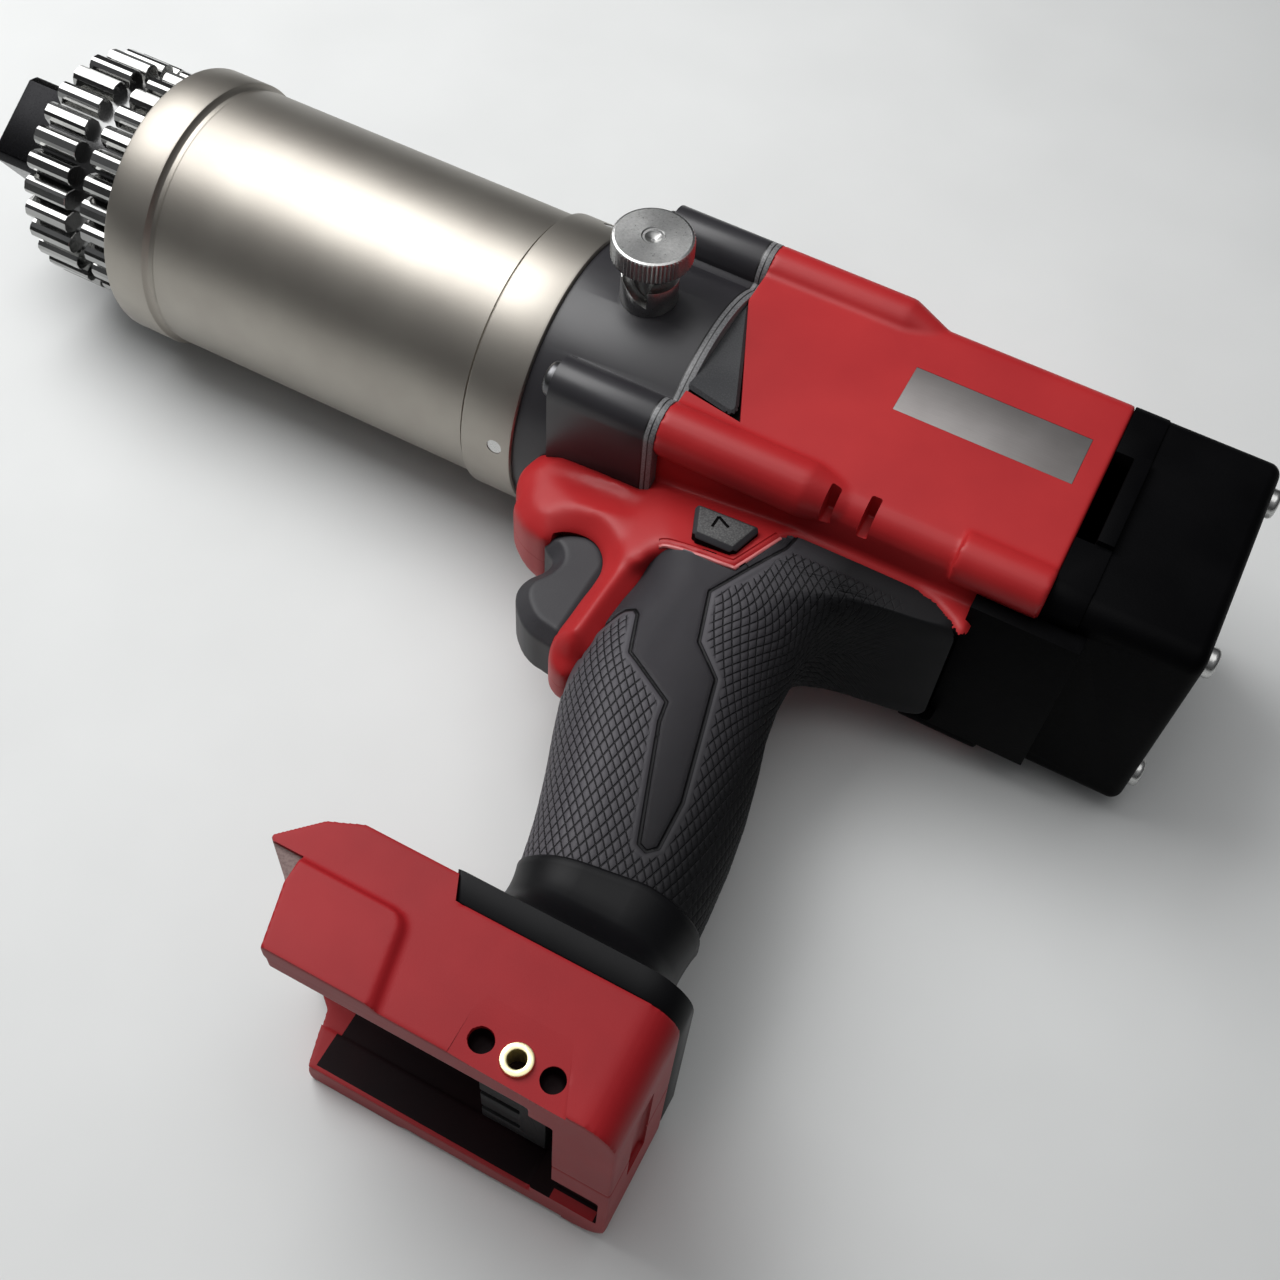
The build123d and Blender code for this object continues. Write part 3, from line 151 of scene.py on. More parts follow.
def inside(at, x=(-NO_LIMIT, NO_LIMIT), y=(-NO_LIMIT, NO_LIMIT), out=(-NO_LIMIT, NO_LIMIT)):
    """A mask of the points between limits in X, in Y and in distance from the parting plane."""
    reach = np.c_[at[:, :2], np.abs(at[:, 2])]
    low, high = np.array((x, y, out)).T
    return ((reach > low) & (reach < high)).all(axis=1)


def ramp(values, start, run):
    """0 to 1 as values go from a start over a run, which may be below zero."""
    return np.clip((values - start) / run, 0, 1)


def unit(vectors):
    return vectors / np.linalg.norm(vectors, axis=1, keepdims=True)


def smooth(piece, degrees=35):
    pick(piece)
    bpy.ops.object.shade_smooth_by_angle(angle=math.radians(degrees))


def outward(piece):
    in_edit_mode(piece, lambda: bpy.ops.mesh.remove_doubles(threshold=1e-6),
                 lambda: bpy.ops.mesh.normals_make_consistent(inside=False))


def join(name, pieces):
    clear_selection()
    for piece in pieces:
        piece.select_set(True)
    bpy.context.view_layer.objects.active = pieces[0]
    bpy.ops.object.join()
    return named(pieces[0], name)


def duplicate(piece, name):
    pick(piece)
    bpy.ops.object.duplicate(linked=False)
    return named(bpy.context.object, name)


def from_node(node, name):
    """A copy of a solid's mesh, merged, with its flat faces made whole."""
    piece = duplicate(nodes[node], name)
    piece.parent = None
    for key in list(piece.keys()):
        del piece[key]
    piece.data.materials.clear()
    pick(piece)
    bpy.ops.mesh.customdata_custom_splitnormals_clear()
    in_edit_mode(piece, lambda: bpy.ops.mesh.remove_doubles(threshold=2e-6),
                 lambda: bpy.ops.mesh.dissolve_limited(angle_limit=math.radians(2)))
    return piece


def eased(node, name, width, segments):
    """A copy of a solid with its edges rounded."""
    piece = from_node(node, name)
    modify(piece, "BEVEL", width=width * MM, segments=segments, limit_method="ANGLE",
           angle_limit=math.radians(32), use_clamp_overlap=True, miter_outer="MITER_ARC")
    smooth(piece)
    return piece


def cut(piece, cutter):
    modify(piece, "BOOLEAN", operation="DIFFERENCE", object=cutter, solver="EXACT")
    bpy.data.objects.remove(cutter)


def bar(name, low, high, edge=0.0):
    """A block between two corners, with its edges rounded."""
    clear_selection()
    low, high = Vector(low) * MM, Vector(high) * MM
    bpy.ops.mesh.primitive_cube_add(size=1, location=(low + high) / 2, scale=high - low)
    piece = fresh(name)
    if edge:
        modify(piece, "BEVEL", width=edge * MM, segments=3, limit_method="NONE")
    return piece


def rod(name, start, length, radius, axis="X", sides=48, end_radius=None, shift=(0, 0)):
    """A round bar along X or Z, which may taper and, along X, lean."""
    clear_selection()
    far = radius if end_radius is None else end_radius
    bpy.ops.mesh.primitive_cone_add(vertices=sides, radius1=radius * MM, radius2=far * MM, depth=length * MM)
    piece = fresh(name)
    co = points_of(piece)
    co[:, 2] += length * MM / 2
    top = co[:, 2] > length * MM / 2
    if axis == "X":
        co = co[:, [2, 0, 1]]
        co[top, 1:] += np.array(shift) * MM
    co += np.array(start) * MM
    place_points(piece, co)
    outward(piece)
    return piece


def turned(name, profile, base, axis="X", sides=160, closed=False):
    """A turned part: a circle, extruded and resized along its axis from step to step."""
    clear_selection()
    along, radius = profile[0]
    bpy.ops.mesh.primitive_circle_add(vertices=sides, radius=radius * MM, location=(0, 0, along * MM))
    piece = fresh(name)
    pick(piece)
    bpy.ops.object.mode_set(mode="EDIT")
    bpy.ops.mesh.select_all(action="SELECT")
    if not closed:
        bpy.ops.mesh.edge_face_add()
    for next_along, next_radius in profile[1:] + (profile[:1] if closed else []):
        step = (next_along - along) * MM
        bpy.ops.mesh.extrude_region_move(TRANSFORM_OT_translate={"value": (0, 0, step)})
        share = next_radius / radius
        bpy.ops.transform.resize(value=(share, share, 1), center_override=(0, 0, next_along * MM))
        along, radius = next_along, next_radius
    bpy.ops.object.mode_set(mode="OBJECT")
    co = points_of(piece)
    if axis == "X":
        co = co[:, [2, 0, 1]]
    place_points(piece, co + np.array(base) * MM)
    outward(piece)
    return piece


def slab(name, outline, half, edge=0.0, depth=None):
    """A plate from an outline in X and Y, both ways from the parting plane, with sloped edges."""
    clear_selection()
    depth = edge if depth is None else depth
    rise = (half - depth) * MM
    bpy.ops.mesh.primitive_circle_add(vertices=len(outline), radius=MM, fill_type="NGON")
    piece = fresh(name)
    place_points(piece, [(x * MM, y * MM, -rise) for x, y in outline])
    thick = {"value": (0, 0, 2 * rise)}
    in_edit_mode(piece, lambda: bpy.ops.mesh.extrude_region_move(TRANSFORM_OT_translate=thick),
                 lambda: bpy.ops.mesh.select_all(action="SELECT"),
                 lambda: bpy.ops.mesh.normals_make_consistent(inside=False))
    if edge:
        choose(piece, [len(face.vertices) == len(outline) for face in piece.data.polygons])
        in_edit_mode(piece, lambda: bpy.ops.mesh.inset(
            thickness=edge * MM, depth=depth * MM, use_individual=True), chosen=True)
    return piece


def ring_tube(name, sections):
    """A tube from rings of points, one ring to a row, with its seam at the first point."""
    rows_down, around = sections.shape[:2]
    clear_selection()
    bpy.ops.mesh.primitive_grid_add(x_subdivisions=around, y_subdivisions=rows_down - 1, size=1)
    piece = fresh(name)
    place_points(piece, np.concatenate((sections, sections[:, :1]), axis=1).reshape(-1, 3) * MM)
    return piece


def capped(name, sections):
    """A closed form through rings of points, one ring to a row."""
    piece = ring_tube(name, np.asarray(sections, float))
    outward(piece)
    in_edit_mode(piece, lambda: bpy.ops.mesh.fill_holes(sides=0))
    outward(piece)
    return piece


def curve_between(t, start, end, leaving, arriving):
    """Values on the way from a start to an end, with the slopes at both given."""
    return ((2 * t**3 - 3 * t**2 + 1) * start + (t**3 - 2 * t**2 + t) * leaving
            + (3 * t**2 - 2 * t**3) * end + (t**3 - t**2) * arriving)


def flowing(points, steps=6):
    """A smooth curve through points."""
    points = np.array(points, float)
    slopes = np.gradient(points, axis=0)
    t = np.linspace(0, 1, steps, endpoint=False)[:, None]
    runs = [curve_between(t, *ends) for ends in zip(points, points[1:], slopes, slopes[1:])]
    return [tuple(p) for p in np.concatenate(runs)] + [tuple(points[-1])]


def arc(centre, radius, start, end, count):
    """Points on an arc, by degrees."""
    turns = np.radians(np.linspace(start, end, count))
    return [(centre[0] + radius * math.cos(t), centre[1] + radius * math.sin(t)) for t in turns]


def bead(name, points, radius, sides=8):
    """A thin round bead along a line of points."""
    points = np.array(points, float)
    ahead = unit(np.gradient(points, axis=0))
    across = unit(np.cross(ahead, (0, 0, 1.0)))
    up = np.cross(across, ahead)
    turns = np.linspace(0, 2 * math.pi, sides, endpoint=False)[:, None]
    return capped(name, [point + radius * (np.cos(turns) * a + np.sin(turns) * u)
                         for point, a, u in zip(points, across, up)])


def beside(points, distance):
    """A line of points in X and Y, moved sideways, without those that come too near the line."""
    points = np.array(points, float)
    ahead = unit(np.gradient(points, axis=0))
    moved = points + distance * np.c_[-ahead[:, 1], ahead[:, 0]]
    clear = np.linalg.norm(moved[:, None] - points[None], axis=2).min(axis=1) > abs(distance) * 0.97
    return moved[clear]


def on_skin(piece, points, side):
    """Heights of a piece's skin over points in X and Y, seen from one side, in millimetres."""
    bpy.context.view_layer.update()
    hits = [piece.ray_cast(Vector((x * MM, y * MM, side * 60 * MM)), (0, 0, -side)) for x, y in points]
    return np.array([where.z / MM for _, where, _, _ in hits])


def second_finish(piece, finish, wanted):
    """Gives the faces that a mask names another finish."""
    piece.data.materials.append(finish)
    index = np.empty(len(piece.data.polygons), np.int32)
    piece.data.polygons.foreach_get("material_index", index)
    index[wanted] = len(piece.data.materials) - 1
    piece.data.polygons.foreach_set("material_index", index)


def melted(piece, voxel, softening):
    """One skin over overlapping forms, with its edges softened."""
    modify(piece, "REMESH", mode="VOXEL", voxel_size=voxel * MM, use_smooth_shade=True)
    modify(piece, "SMOOTH", factor=0.5, iterations=softening)


def half_of(piece, name, side):
    """The half of a piece on one side of the parting plane, closed along the cut."""
    half = duplicate(piece, name)
    in_edit_mode(half, lambda: bpy.ops.mesh.bisect(
        plane_co=(0, 0, side * 0.04 * MM), plane_no=(0, 0, side), use_fill=True, clear_inner=True))
    return half


def half_sheet(tube, name, side, unwanted=False):
    """The faces of a tube on one side of the parting plane, without those that are named."""
    sheet = duplicate(tube, name)
    choose(sheet, (face_centres(tube)[:, 2] * side < 0) | unwanted)
    in_edit_mode(sheet, lambda: bpy.ops.mesh.delete(type="FACE"), chosen=True)
    return sheet


def stands_for(piece, body, finish, *hidden):
    """Sets a finished piece in the model: its body, the solids it replaces and its finish."""
    piece.data.materials.clear()
    piece.data.materials.append(finish)
    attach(piece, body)
    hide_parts(*hidden)


def eased_piece(node, name, width, segments, finish, body="tool_body"):
    """A finished piece that keeps its solid's form, with its edges rounded."""
    stands_for(eased(node, name, width, segments), body, finish, node)


# Finishes

class Wire:
    """One output of a material's nodes, for use in expressions."""

    def __init__(self, tree, socket):
        self.tree = tree
        self.socket = socket

    def node(self, kind, settings, inputs, output=0):
        """A new node of a kind, with its settings, then the values or links of its sockets."""
        new = self.tree.nodes.new(kind)
        for key, value in settings.items():
            if key == "stops":
                ramp_stops = new.color_ramp.elements
                for element, (place, colour) in zip(ramp_stops, value):
                    element.position, element.color = place, colour
                for place, colour in value[2:]:
                    ramp_stops.new(place).color = colour
            else:
                setattr(new, key, value)
        for key, value in inputs.items():
            if isinstance(value, Wire):
                self.tree.links.new(value.socket, new.inputs[key])
            else:
                new.inputs[key].default_value = value
        return Wire(self.tree, new.outputs[output])

    def maths(self, operation, *values):
        return self.node("ShaderNodeMath", {"operation": operation}, dict(enumerate((self,) + values)))

    def __add__(self, other):
        return self.maths("ADD", other)

    def __sub__(self, other):
        return self.maths("SUBTRACT", other)

    def __rsub__(self, other):
        return self.node("ShaderNodeMath", {"operation": "SUBTRACT"}, {0: other, 1: self})

    def __mul__(self, other):
        return self.maths("MULTIPLY", other)

    __radd__ = __add__
    __rmul__ = __mul__

    def noise(self, size, detail=3.0, rough=0.5):
        """Noise whose features are about this size, in millimetres."""
        inputs = {"Vector": self, "Scale": 1 / (size * MM), "Detail": detail, "Roughness": rough}
        return self.node("ShaderNodeTexNoise", {}, inputs)

    def stretched(self, x, y, z):
        return self.node("ShaderNodeMapping", {}, {"Vector": self, "Scale": (x, y, z)})

    def part(self, index):
        """X, Y or Z of a vector."""
        return self.node("ShaderNodeSeparateXYZ", {}, {"Vector": self}, index)

    def length(self):
        return self.node("ShaderNodeVectorMath", {"operation": "LENGTH"}, {0: self}, 1)

    def attribute(self, name, output):
        """What the mesh carries under a name: its vector is output 1, its value output 2."""
        return self.node("ShaderNodeAttribute", {"attribute_name": name}, {}, output)

    def between(self, low, high):
        """The value spread over 0 to 1 between two limits."""
        inputs = {"Value": self, "From Min": low, "From Max": high, "To Min": 0.0, "To Max": 1.0}
        return self.node("ShaderNodeMapRange", {"clamp": True}, inputs)

    def blend(self, low, high):
        """A colour between two, by this value."""
        return self.node("ShaderNodeMix", {"data_type": "RGBA"}, {0: self, 6: low, 7: high}, 2)


def rgb(r, g, b):
    return (r, g, b, 1.0)


CLOUD = 24  # size of the patches of tint
HANDLED_PATCH = 9  # size of the patches of gloss
HANDLED_SPREAD = 0.07  # of roughness
NOISE_SPAN = (0.3, 0.7)  # where most of a noise's values lie
BORDER_SHIFT = 2  # added to the carried distance: a face that carries none reads 0 and shows no line
GRIP_TINT = rgb(0.074, 0.070, 0.079)
# Near black for painted shade: in the rubber's grooves and over the grip's far end
CREASE_SHADE = rgb(0.003, 0.003, 0.004)


def material(name, fixed):
    """A new material with its shader's constant sockets set; also its shader and Object coordinates."""
    made = bpy.data.materials.new(name)
    made.use_nodes = True
    tree = made.node_tree
    shader = tree.nodes["Principled BSDF"]
    for key, value in fixed.items():
        shader.inputs[key].default_value = value
    place = Wire(tree, tree.nodes.new("ShaderNodeTexCoord").outputs["Object"])
    return made, shader, place


def connect(shader, **wires):
    names = {"colour": "Base Color", "roughness": "Roughness", "normal": "Normal"}
    for key, wire in wires.items():
        wire.tree.links.new(wire.socket, shader.inputs[names[key]])


def bump(height, depth):
    """A normal from a height between 0 and 1, this many millimetres deep."""
    return height.node("ShaderNodeBump", {}, {"Strength": 1.0, "Distance": depth * MM, "Height": height})


def handled(place, rough, spread, detail=5.0):
    """Roughness that is uneven in patches, as handling leaves it."""
    return rough + spread * place.noise(HANDLED_PATCH, detail)


def cloudy(place, fine, speckle):
    """A tint in soft patches, with some of the fine grain in it."""
    return (place.noise(CLOUD, 4.0) + speckle * (fine - 0.5)).between(0.32, 0.68)


def moulded(name, low, high, rough, grain, depth, speckle=0.0, gloss=0.3):
    """Moulded plastic or rubber: fine grain, a cloudy tint and handled, uneven gloss."""
    made, shader, place = material(name, {"Specular IOR Level": gloss})
    fine = place.noise(grain, 2.0, 0.6)
    connect(shader, colour=cloudy(place, fine, speckle).blend(low, high), normal=bump(fine, depth),
            roughness=handled(place, rough - HANDLED_SPREAD / 2, HANDLED_SPREAD))
    return made


def metal(name, low, high, rough, spread, grain, stretch=(1, 1, 1), depth=0.004):
    """Bare metal with a drawn or blasted surface."""
    made, shader, place = material(name, {"Metallic": 1.0})
    drawn = place.stretched(*stretch).noise(grain, 3.0, 0.6)
    cloud = place.noise(18, 3.0)
    connect(shader, colour=cloud.between(*NOISE_SPAN).blend(low, high), normal=bump(drawn, depth),
            roughness=rough + spread * (drawn - 0.5))
    return made


def border_line(place):
    """A sharp line of painted shade in the groove along the inlay's outline."""
    return 1 - (place.attribute("border", 2) - (BORDER_SHIFT + 0.1)).maths("ABSOLUTE").between(0.28, 0.5)


def lozenge_rubber():
    """Grip rubber: the lozenges carried by the mesh get sharp edges with painted shade in their grooves, and
    the far end is darker with painted shade.
    """
    made, shader, place = material("grip_rubber", {"Specular IOR Level": 0.24})
    weave = place.attribute("weave", 1)
    u, v = ((weave.part(k).maths("FRACT") - 0.5).maths("ABSOLUTE") * 2 for k in range(2))
    shown = weave.part(2)
    line = u.maths("MAXIMUM", v).between(0.78, 0.95) * shown
    dip = line.maths("MAXIMUM", border_line(place))
    fine = place.noise(0.25, 2.0, 0.6)
    # The grip's far end turns near black: painted shade. It is also rougher there.
    deep = place.part(0).between(186 * MM, 212 * MM)
    # Painted shade darkens the lozenges' grooves and the groove along the inlay's outline
    shaded_grooves = dip.blend(GRIP_TINT, CREASE_SHADE)
    connect(shader, colour=deep.blend(shaded_grooves, CREASE_SHADE), roughness=handled(place, 0.42, 0.14) + 0.2 * deep,
            normal=bump(0.94 * (1 - dip) + 0.06 * fine, 0.24))
    return made


def inlay_rubber():
    """Smooth grip rubber with fine grain, up to a line of painted shade along its outline."""
    made, shader, place = material("inlay_rubber", {"Specular IOR Level": 0.3})
    fine = place.noise(0.28, 2.0, 0.6)
    tint = cloudy(place, fine, 0.5).blend(GRIP_TINT, rgb(0.092, 0.088, 0.097))
    dip = border_line(place)
    connect(shader, colour=dip.blend(tint, CREASE_SHADE), roughness=handled(place, 0.50, 0.1),
            normal=bump(0.9 * (1 - dip) + 0.1 * fine, 0.2))
    return made


def gasket_finish():
    """Pressed grey plate with thin lines of painted shade along its front and middle."""
    made, shader, place = material("gasket_grey", {"Specular IOR Level": 0.5})
    along = place.part(0)
    # Front and middle: thin lines of painted shade in the plate's seams
    front = 1 - along.between((GASKET_X - 2.5) * MM, (GASKET_X - 2.4) * MM)
    middle = 1 - (along - (GASKET_X - 1.35) * MM).maths("ABSOLUTE").between(0.12 * MM, 0.2 * MM)
    fine = place.noise(0.5, 2.0, 0.6)
    grey = fine.between(*NOISE_SPAN).blend(rgb(0.10, 0.10, 0.105), rgb(0.22, 0.22, 0.225))
    connect(shader, colour=front.maths("MAXIMUM", middle).blend(grey, rgb(0.003, 0.003, 0.003)),
            roughness=handled(place, 0.30, 0.16, detail=4.0), normal=bump(fine, 0.015))
    return made


def turned_face(name, centre):
    """Steel faced on a lathe: fine rings round the knob's axis."""
    made, shader, place = material(name, {"Metallic": 1.0, "Anisotropic": 0.5})
    to_axis = tuple(-v * MM for v in centre)
    offset = place.node("ShaderNodeMapping", {}, {"Vector": place, "Location": to_axis})
    flat = offset.node("ShaderNodeVectorMath", {"operation": "MULTIPLY"}, {0: offset, 1: (1, 1, 0)})
    ring_pitch = 0.35 * MM
    rings = (flat.length() * (2 * math.pi / ring_pitch)).maths("SINE") * 0.5 + 0.5
    scratch = place.noise(0.5, 4.0, 0.7)
    connect(shader, colour=scratch.between(*NOISE_SPAN).blend(rgb(0.40, 0.40, 0.395), rgb(0.54, 0.54, 0.53)),
            roughness=0.22 + 0.16 * scratch, normal=bump(rings * 0.6 + scratch * 0.4, 0.012))
    return made


red = moulded("housing_red", rgb(0.37, 0.014, 0.017), rgb(0.43, 0.020, 0.022),
              rough=0.42, grain=0.35, depth=0.010)
# A lighter red for the saddle's edge bead: a painted highlight
painted_highlight_red = moulded("painted_highlight_red", rgb(0.52, 0.13, 0.13), rgb(0.60, 0.17, 0.17),
                   rough=0.35, grain=0.35, depth=0.006, gloss=0.5)
foot_red = moulded("foot_red", rgb(0.28, 0.010, 0.014), rgb(0.34, 0.014, 0.018),
                   rough=0.45, grain=0.30, depth=0.016, gloss=0.18)
# A grey brown for the foot's visor notch: painted shade on the red
facet_shade = moulded("facet_shade", rgb(0.13, 0.085, 0.08), rgb(0.22, 0.16, 0.15),
                     rough=0.6, grain=0.5, depth=0.03, speckle=1.0, gloss=0.2)
# Near black red for the battery's bay: painted shade
bay_shade = moulded("bay_shade", rgb(0.006, 0.002, 0.003), rgb(0.012, 0.003, 0.004),
                   rough=0.6, grain=0.3, depth=0.012, gloss=0.1)
# Near black for recesses: painted shade
recess_shade = moulded("recess_shade", rgb(0.002, 0.002, 0.002), rgb(0.004, 0.003, 0.003),
                      rough=0.7, grain=0.3, depth=0.008, gloss=0.05)
# A far darker copy of the grip rubber for the neck: painted shade
neck_shade = moulded("neck_shade", rgb(0.0035, 0.0035, 0.0042), rgb(0.006, 0.006, 0.007),
                     rough=0.45, grain=0.3, depth=0.008, gloss=0.14)
dark = moulded("dark_plastic", rgb(0.030, 0.029, 0.033), rgb(0.043, 0.042, 0.046),
               rough=0.48, grain=0.35, depth=0.016, speckle=0.4)
button_grey = moulded("button_grey", rgb(0.045, 0.045, 0.046), rgb(0.095, 0.095, 0.095),
                      rough=0.5, grain=0.45, depth=0.03, speckle=1.4)
window_grey = moulded("window_grey", rgb(0.030, 0.031, 0.034), rgb(0.060, 0.061, 0.064),
                      rough=0.5, grain=0.4, depth=0.025, speckle=0.9)
rear_black = moulded("rear_black", rgb(0.0010, 0.0010, 0.0013), rgb(0.0026, 0.0026, 0.003),
                     rough=0.5, grain=0.8, depth=0.03, gloss=0.03)
block_black = moulded("block_black", rgb(0.006, 0.006, 0.007), rgb(0.010, 0.010, 0.011),
                      rough=0.5, grain=0.5, depth=0.02, gloss=0.15)
collar_black = moulded("collar_black", rgb(0.020, 0.019, 0.022), rgb(0.028, 0.027, 0.031),
                       rough=0.36, grain=0.22, depth=0.006, gloss=0.5)
seal_black = moulded("seal_rubber", rgb(0.012, 0.012, 0.012), rgb(0.02, 0.02, 0.02),
                     rough=0.6, grain=0.3, depth=0.01)
board_green = moulded("board_green", rgb(0.015, 0.12, 0.05), rgb(0.02, 0.17, 0.07),
                      rough=0.4, grain=0.6, depth=0.01)
chrome = metal("spline_chrome", rgb(0.30, 0.30, 0.295), rgb(0.42, 0.42, 0.41),
               rough=0.13, spread=0.10, grain=0.5, stretch=(0.15, 1, 1))
nickel = metal("sleeve_nickel", rgb(0.355, 0.33, 0.295), rgb(0.40, 0.375, 0.335),
               rough=0.43, spread=0.08, grain=0.16, depth=0.003)
steel = metal("gear_steel", rgb(0.44, 0.44, 0.45), rgb(0.54, 0.54, 0.55), rough=0.32, spread=0.12, grain=0.4)
screw_steel = metal("screw_steel", rgb(0.50, 0.50, 0.49), rgb(0.60, 0.60, 0.59),
                    rough=0.28, spread=0.12, grain=0.4)
black_steel = metal("black_steel", rgb(0.10, 0.10, 0.105), rgb(0.16, 0.16, 0.165),
                    rough=0.34, spread=0.12, grain=0.4)
brass = metal("insert_brass", rgb(0.86, 0.76, 0.44), rgb(0.93, 0.85, 0.54),
              rough=0.34, spread=0.12, grain=0.4)
copper = metal("winding_copper", rgb(0.55, 0.22, 0.10), rgb(0.64, 0.28, 0.13),
               rough=0.35, spread=0.12, grain=0.6, stretch=(0.1, 1, 1))
plate_silver = metal("plate_silver", rgb(0.24, 0.225, 0.22), rgb(0.30, 0.285, 0.28),
                     rough=0.62, spread=0.20, grain=0.25, stretch=(0.04, 1, 1))
# A darker metal for the spline's roots: painted shade between the teeth
spline_root_shade = metal("spline_root_shade", rgb(0.10, 0.10, 0.10), rgb(0.20, 0.20, 0.20),
                    rough=0.22, spread=0.12, grain=0.5)
drive_black = metal("drive_black", rgb(0.008, 0.008, 0.009), rgb(0.016, 0.016, 0.017),
                    rough=0.26, spread=0.16, grain=0.7)
grip_black = lozenge_rubber()
inlay_black = inlay_rubber()
gasket_grey = gasket_finish()
knob_steel = turned_face("knob_steel", (KNOB_X, 0, 0))

finish_of_slot = {
    "spline_chrome": chrome, "drive_black": drive_black, "sleeve_nickel": nickel, "gear_steel": steel,
    "collar_black": collar_black, "knob_steel": knob_steel, "screw_steel": screw_steel,
    "gasket_grey": gasket_grey, "housing_red": red, "dark_plastic": dark, "rear_black": rear_black,
    "grip_rubber": grip_black, "inlay_rubber": inlay_black, "plate_silver": plate_silver,
    "insert_brass": brass, "winding_copper": copper, "board_green": board_green, "seal_rubber": seal_black,
}
for node, solid in nodes.items():
    solid.data.materials.clear()
    solid.data.materials.append(finish_of_slot[slot_of[node]])
    smooth(solid, 30)

# Sleeve, turned, with a concave step behind the flange and a fine groove before the band
SLEEVE_PROFILE = [  # along the axis, radius
    (0, 22.05), (0, 36.3), (0.25, 36.75), (0.7, 36.9), (11.7, 36.9), (12.1, 36.75), (12.4, 36.3),
    (12.7, 35.8), (13.2, 35.4), (13.9, 35.25), (14.5, 35.35), (14.8, 35.6), (15.3, 35.7), (107.7, 35.7),
    (107.9, 35.35), (108.3, 35.35), (108.5, 36.6), (108.8, 37.0), (109.3, 37.1), (121.9, 37.1),
    (122.4, 36.95), (122.7, 36.5), (122.7, 33.95), (109.7, 33.95), (109.7, 31.05), (10, 31.05), (10, 22.05),
]
GRUB_COUNT, GRUB_X, GRUB_TURN, GRUB_RADIUS = 3, 118.2, 172.8, 2.05
sleeve = turned("sleeve", SLEEVE_PROFILE, (0, 0, 0), sides=224, closed=True)
grub_holes = []
for count in range(GRUB_COUNT):
    turn = math.radians(GRUB_TURN + 360 / GRUB_COUNT * count)
    hole = rod("grub_hole", (0, 0, 30), 12, GRUB_RADIUS, axis="Z", sides=32)
    co = points_of(hole)
    out = np.array((0, math.cos(turn), math.sin(turn)))
    across = np.array((0, -math.sin(turn), math.cos(turn)))
    place_points(hole, np.outer(co[:, 2], out) + np.outer(co[:, 0], across) + np.outer(co[:, 1], (1, 0, 0))
                 + np.array((GRUB_X * MM, 0, 0)))
    outward(hole)
    grub_holes.append(hole)
cut(sleeve, join("grub_holes", grub_holes))
smooth(sleeve, 24)
stands_for(sleeve, "tool_body", nickel, "gearbox_sleeve")

# Reaction spline: a ring and two rows of faceted teeth
SPLINE_RING = [  # along the axis, radius
    (-30, 20.0), (-30, 27.6), (-29.4, 28.2), (-0.05, 28.2), (-0.05, 22.0), (9.95, 22.0), (9.95, 20.0)]
SPLINE_TEETH = 28
TOOTH_ROWS = ((-30.0, 13.2), (-11.8, 11.7))  # front, length
TOOTH_ROOT = 27.6
TOOTH_FLANK = [(TOOTH_ROOT, 2.95), (30.3, 2.5), (31.4, 1.8), (31.9, 0.95)]  # radius, half width
TOOTH_ENDS = ((0, 0.96), (0.012, 1.0), (0.988, 1.0), (1, 0.96))  # shares of the length and of the section
DARK_ROOT = 28.5  # radius below which the metal is darker
tooth_section = TOOTH_FLANK + [(y, -z) for y, z in TOOTH_FLANK[::-1]]
teeth = []
for front, length in TOOTH_ROWS:
    tooth = capped("tooth", [[(front + share * length, TOOTH_ROOT + (y - TOOTH_ROOT) * lift, z * lift)
                              for y, z in tooth_section] for share, lift in TOOTH_ENDS])
    first = points_of(tooth)
    for count in range(SPLINE_TEETH):
        copy = duplicate(tooth, "tooth_copy") if count else tooth
        turn = Matrix.Rotation(2 * math.pi * count / SPLINE_TEETH, 3, "X")
        place_points(copy, first @ np.array(turn).T)
        teeth.append(copy)
ring = turned("spline_ring", SPLINE_RING, (0, 0, 0), sides=112, closed=True)
spline = join("reaction_spline", [ring] + teeth)
smooth(spline, 18)
stands_for(spline, "tool_body", chrome, "reaction_spline_ring")
at = face_centres(spline)
# Faces below DARK_ROOT take the darker metal, painted shade between the teeth
second_finish(spline, spline_root_shade, np.hypot(at[:, 1], at[:, 2]) < DARK_ROOT)

# Square drive, collar, gasket plate and the collar's bolts with their hex sockets
eased_piece("output_spindle", "square_drive", 0.9, 3, drive_black, body="output_drive")
eased_piece("drive_collar", "collar", 0.8, 3, collar_black)
eased_piece("gasket_plate", "gasket", 0.45, 2, gasket_grey)
SOCKET_X, SOCKET_DEPTH, SOCKET_RADIUS = 128.9, 2.3, 2.2
collar_bolts = eased("collar_screws", "collar_bolts", 0.5, 3)
cut(collar_bolts, join("sockets", [rod("socket", (SOCKET_X, y, z), SOCKET_DEPTH, SOCKET_RADIUS, sides=6)
                                   for y in (-BOLT_REACH, BOLT_REACH) for z in (-BOLT_REACH, BOLT_REACH)]))
smooth(collar_bolts, 30)
stands_for(collar_bolts, "tool_body", black_steel, "collar_screws")

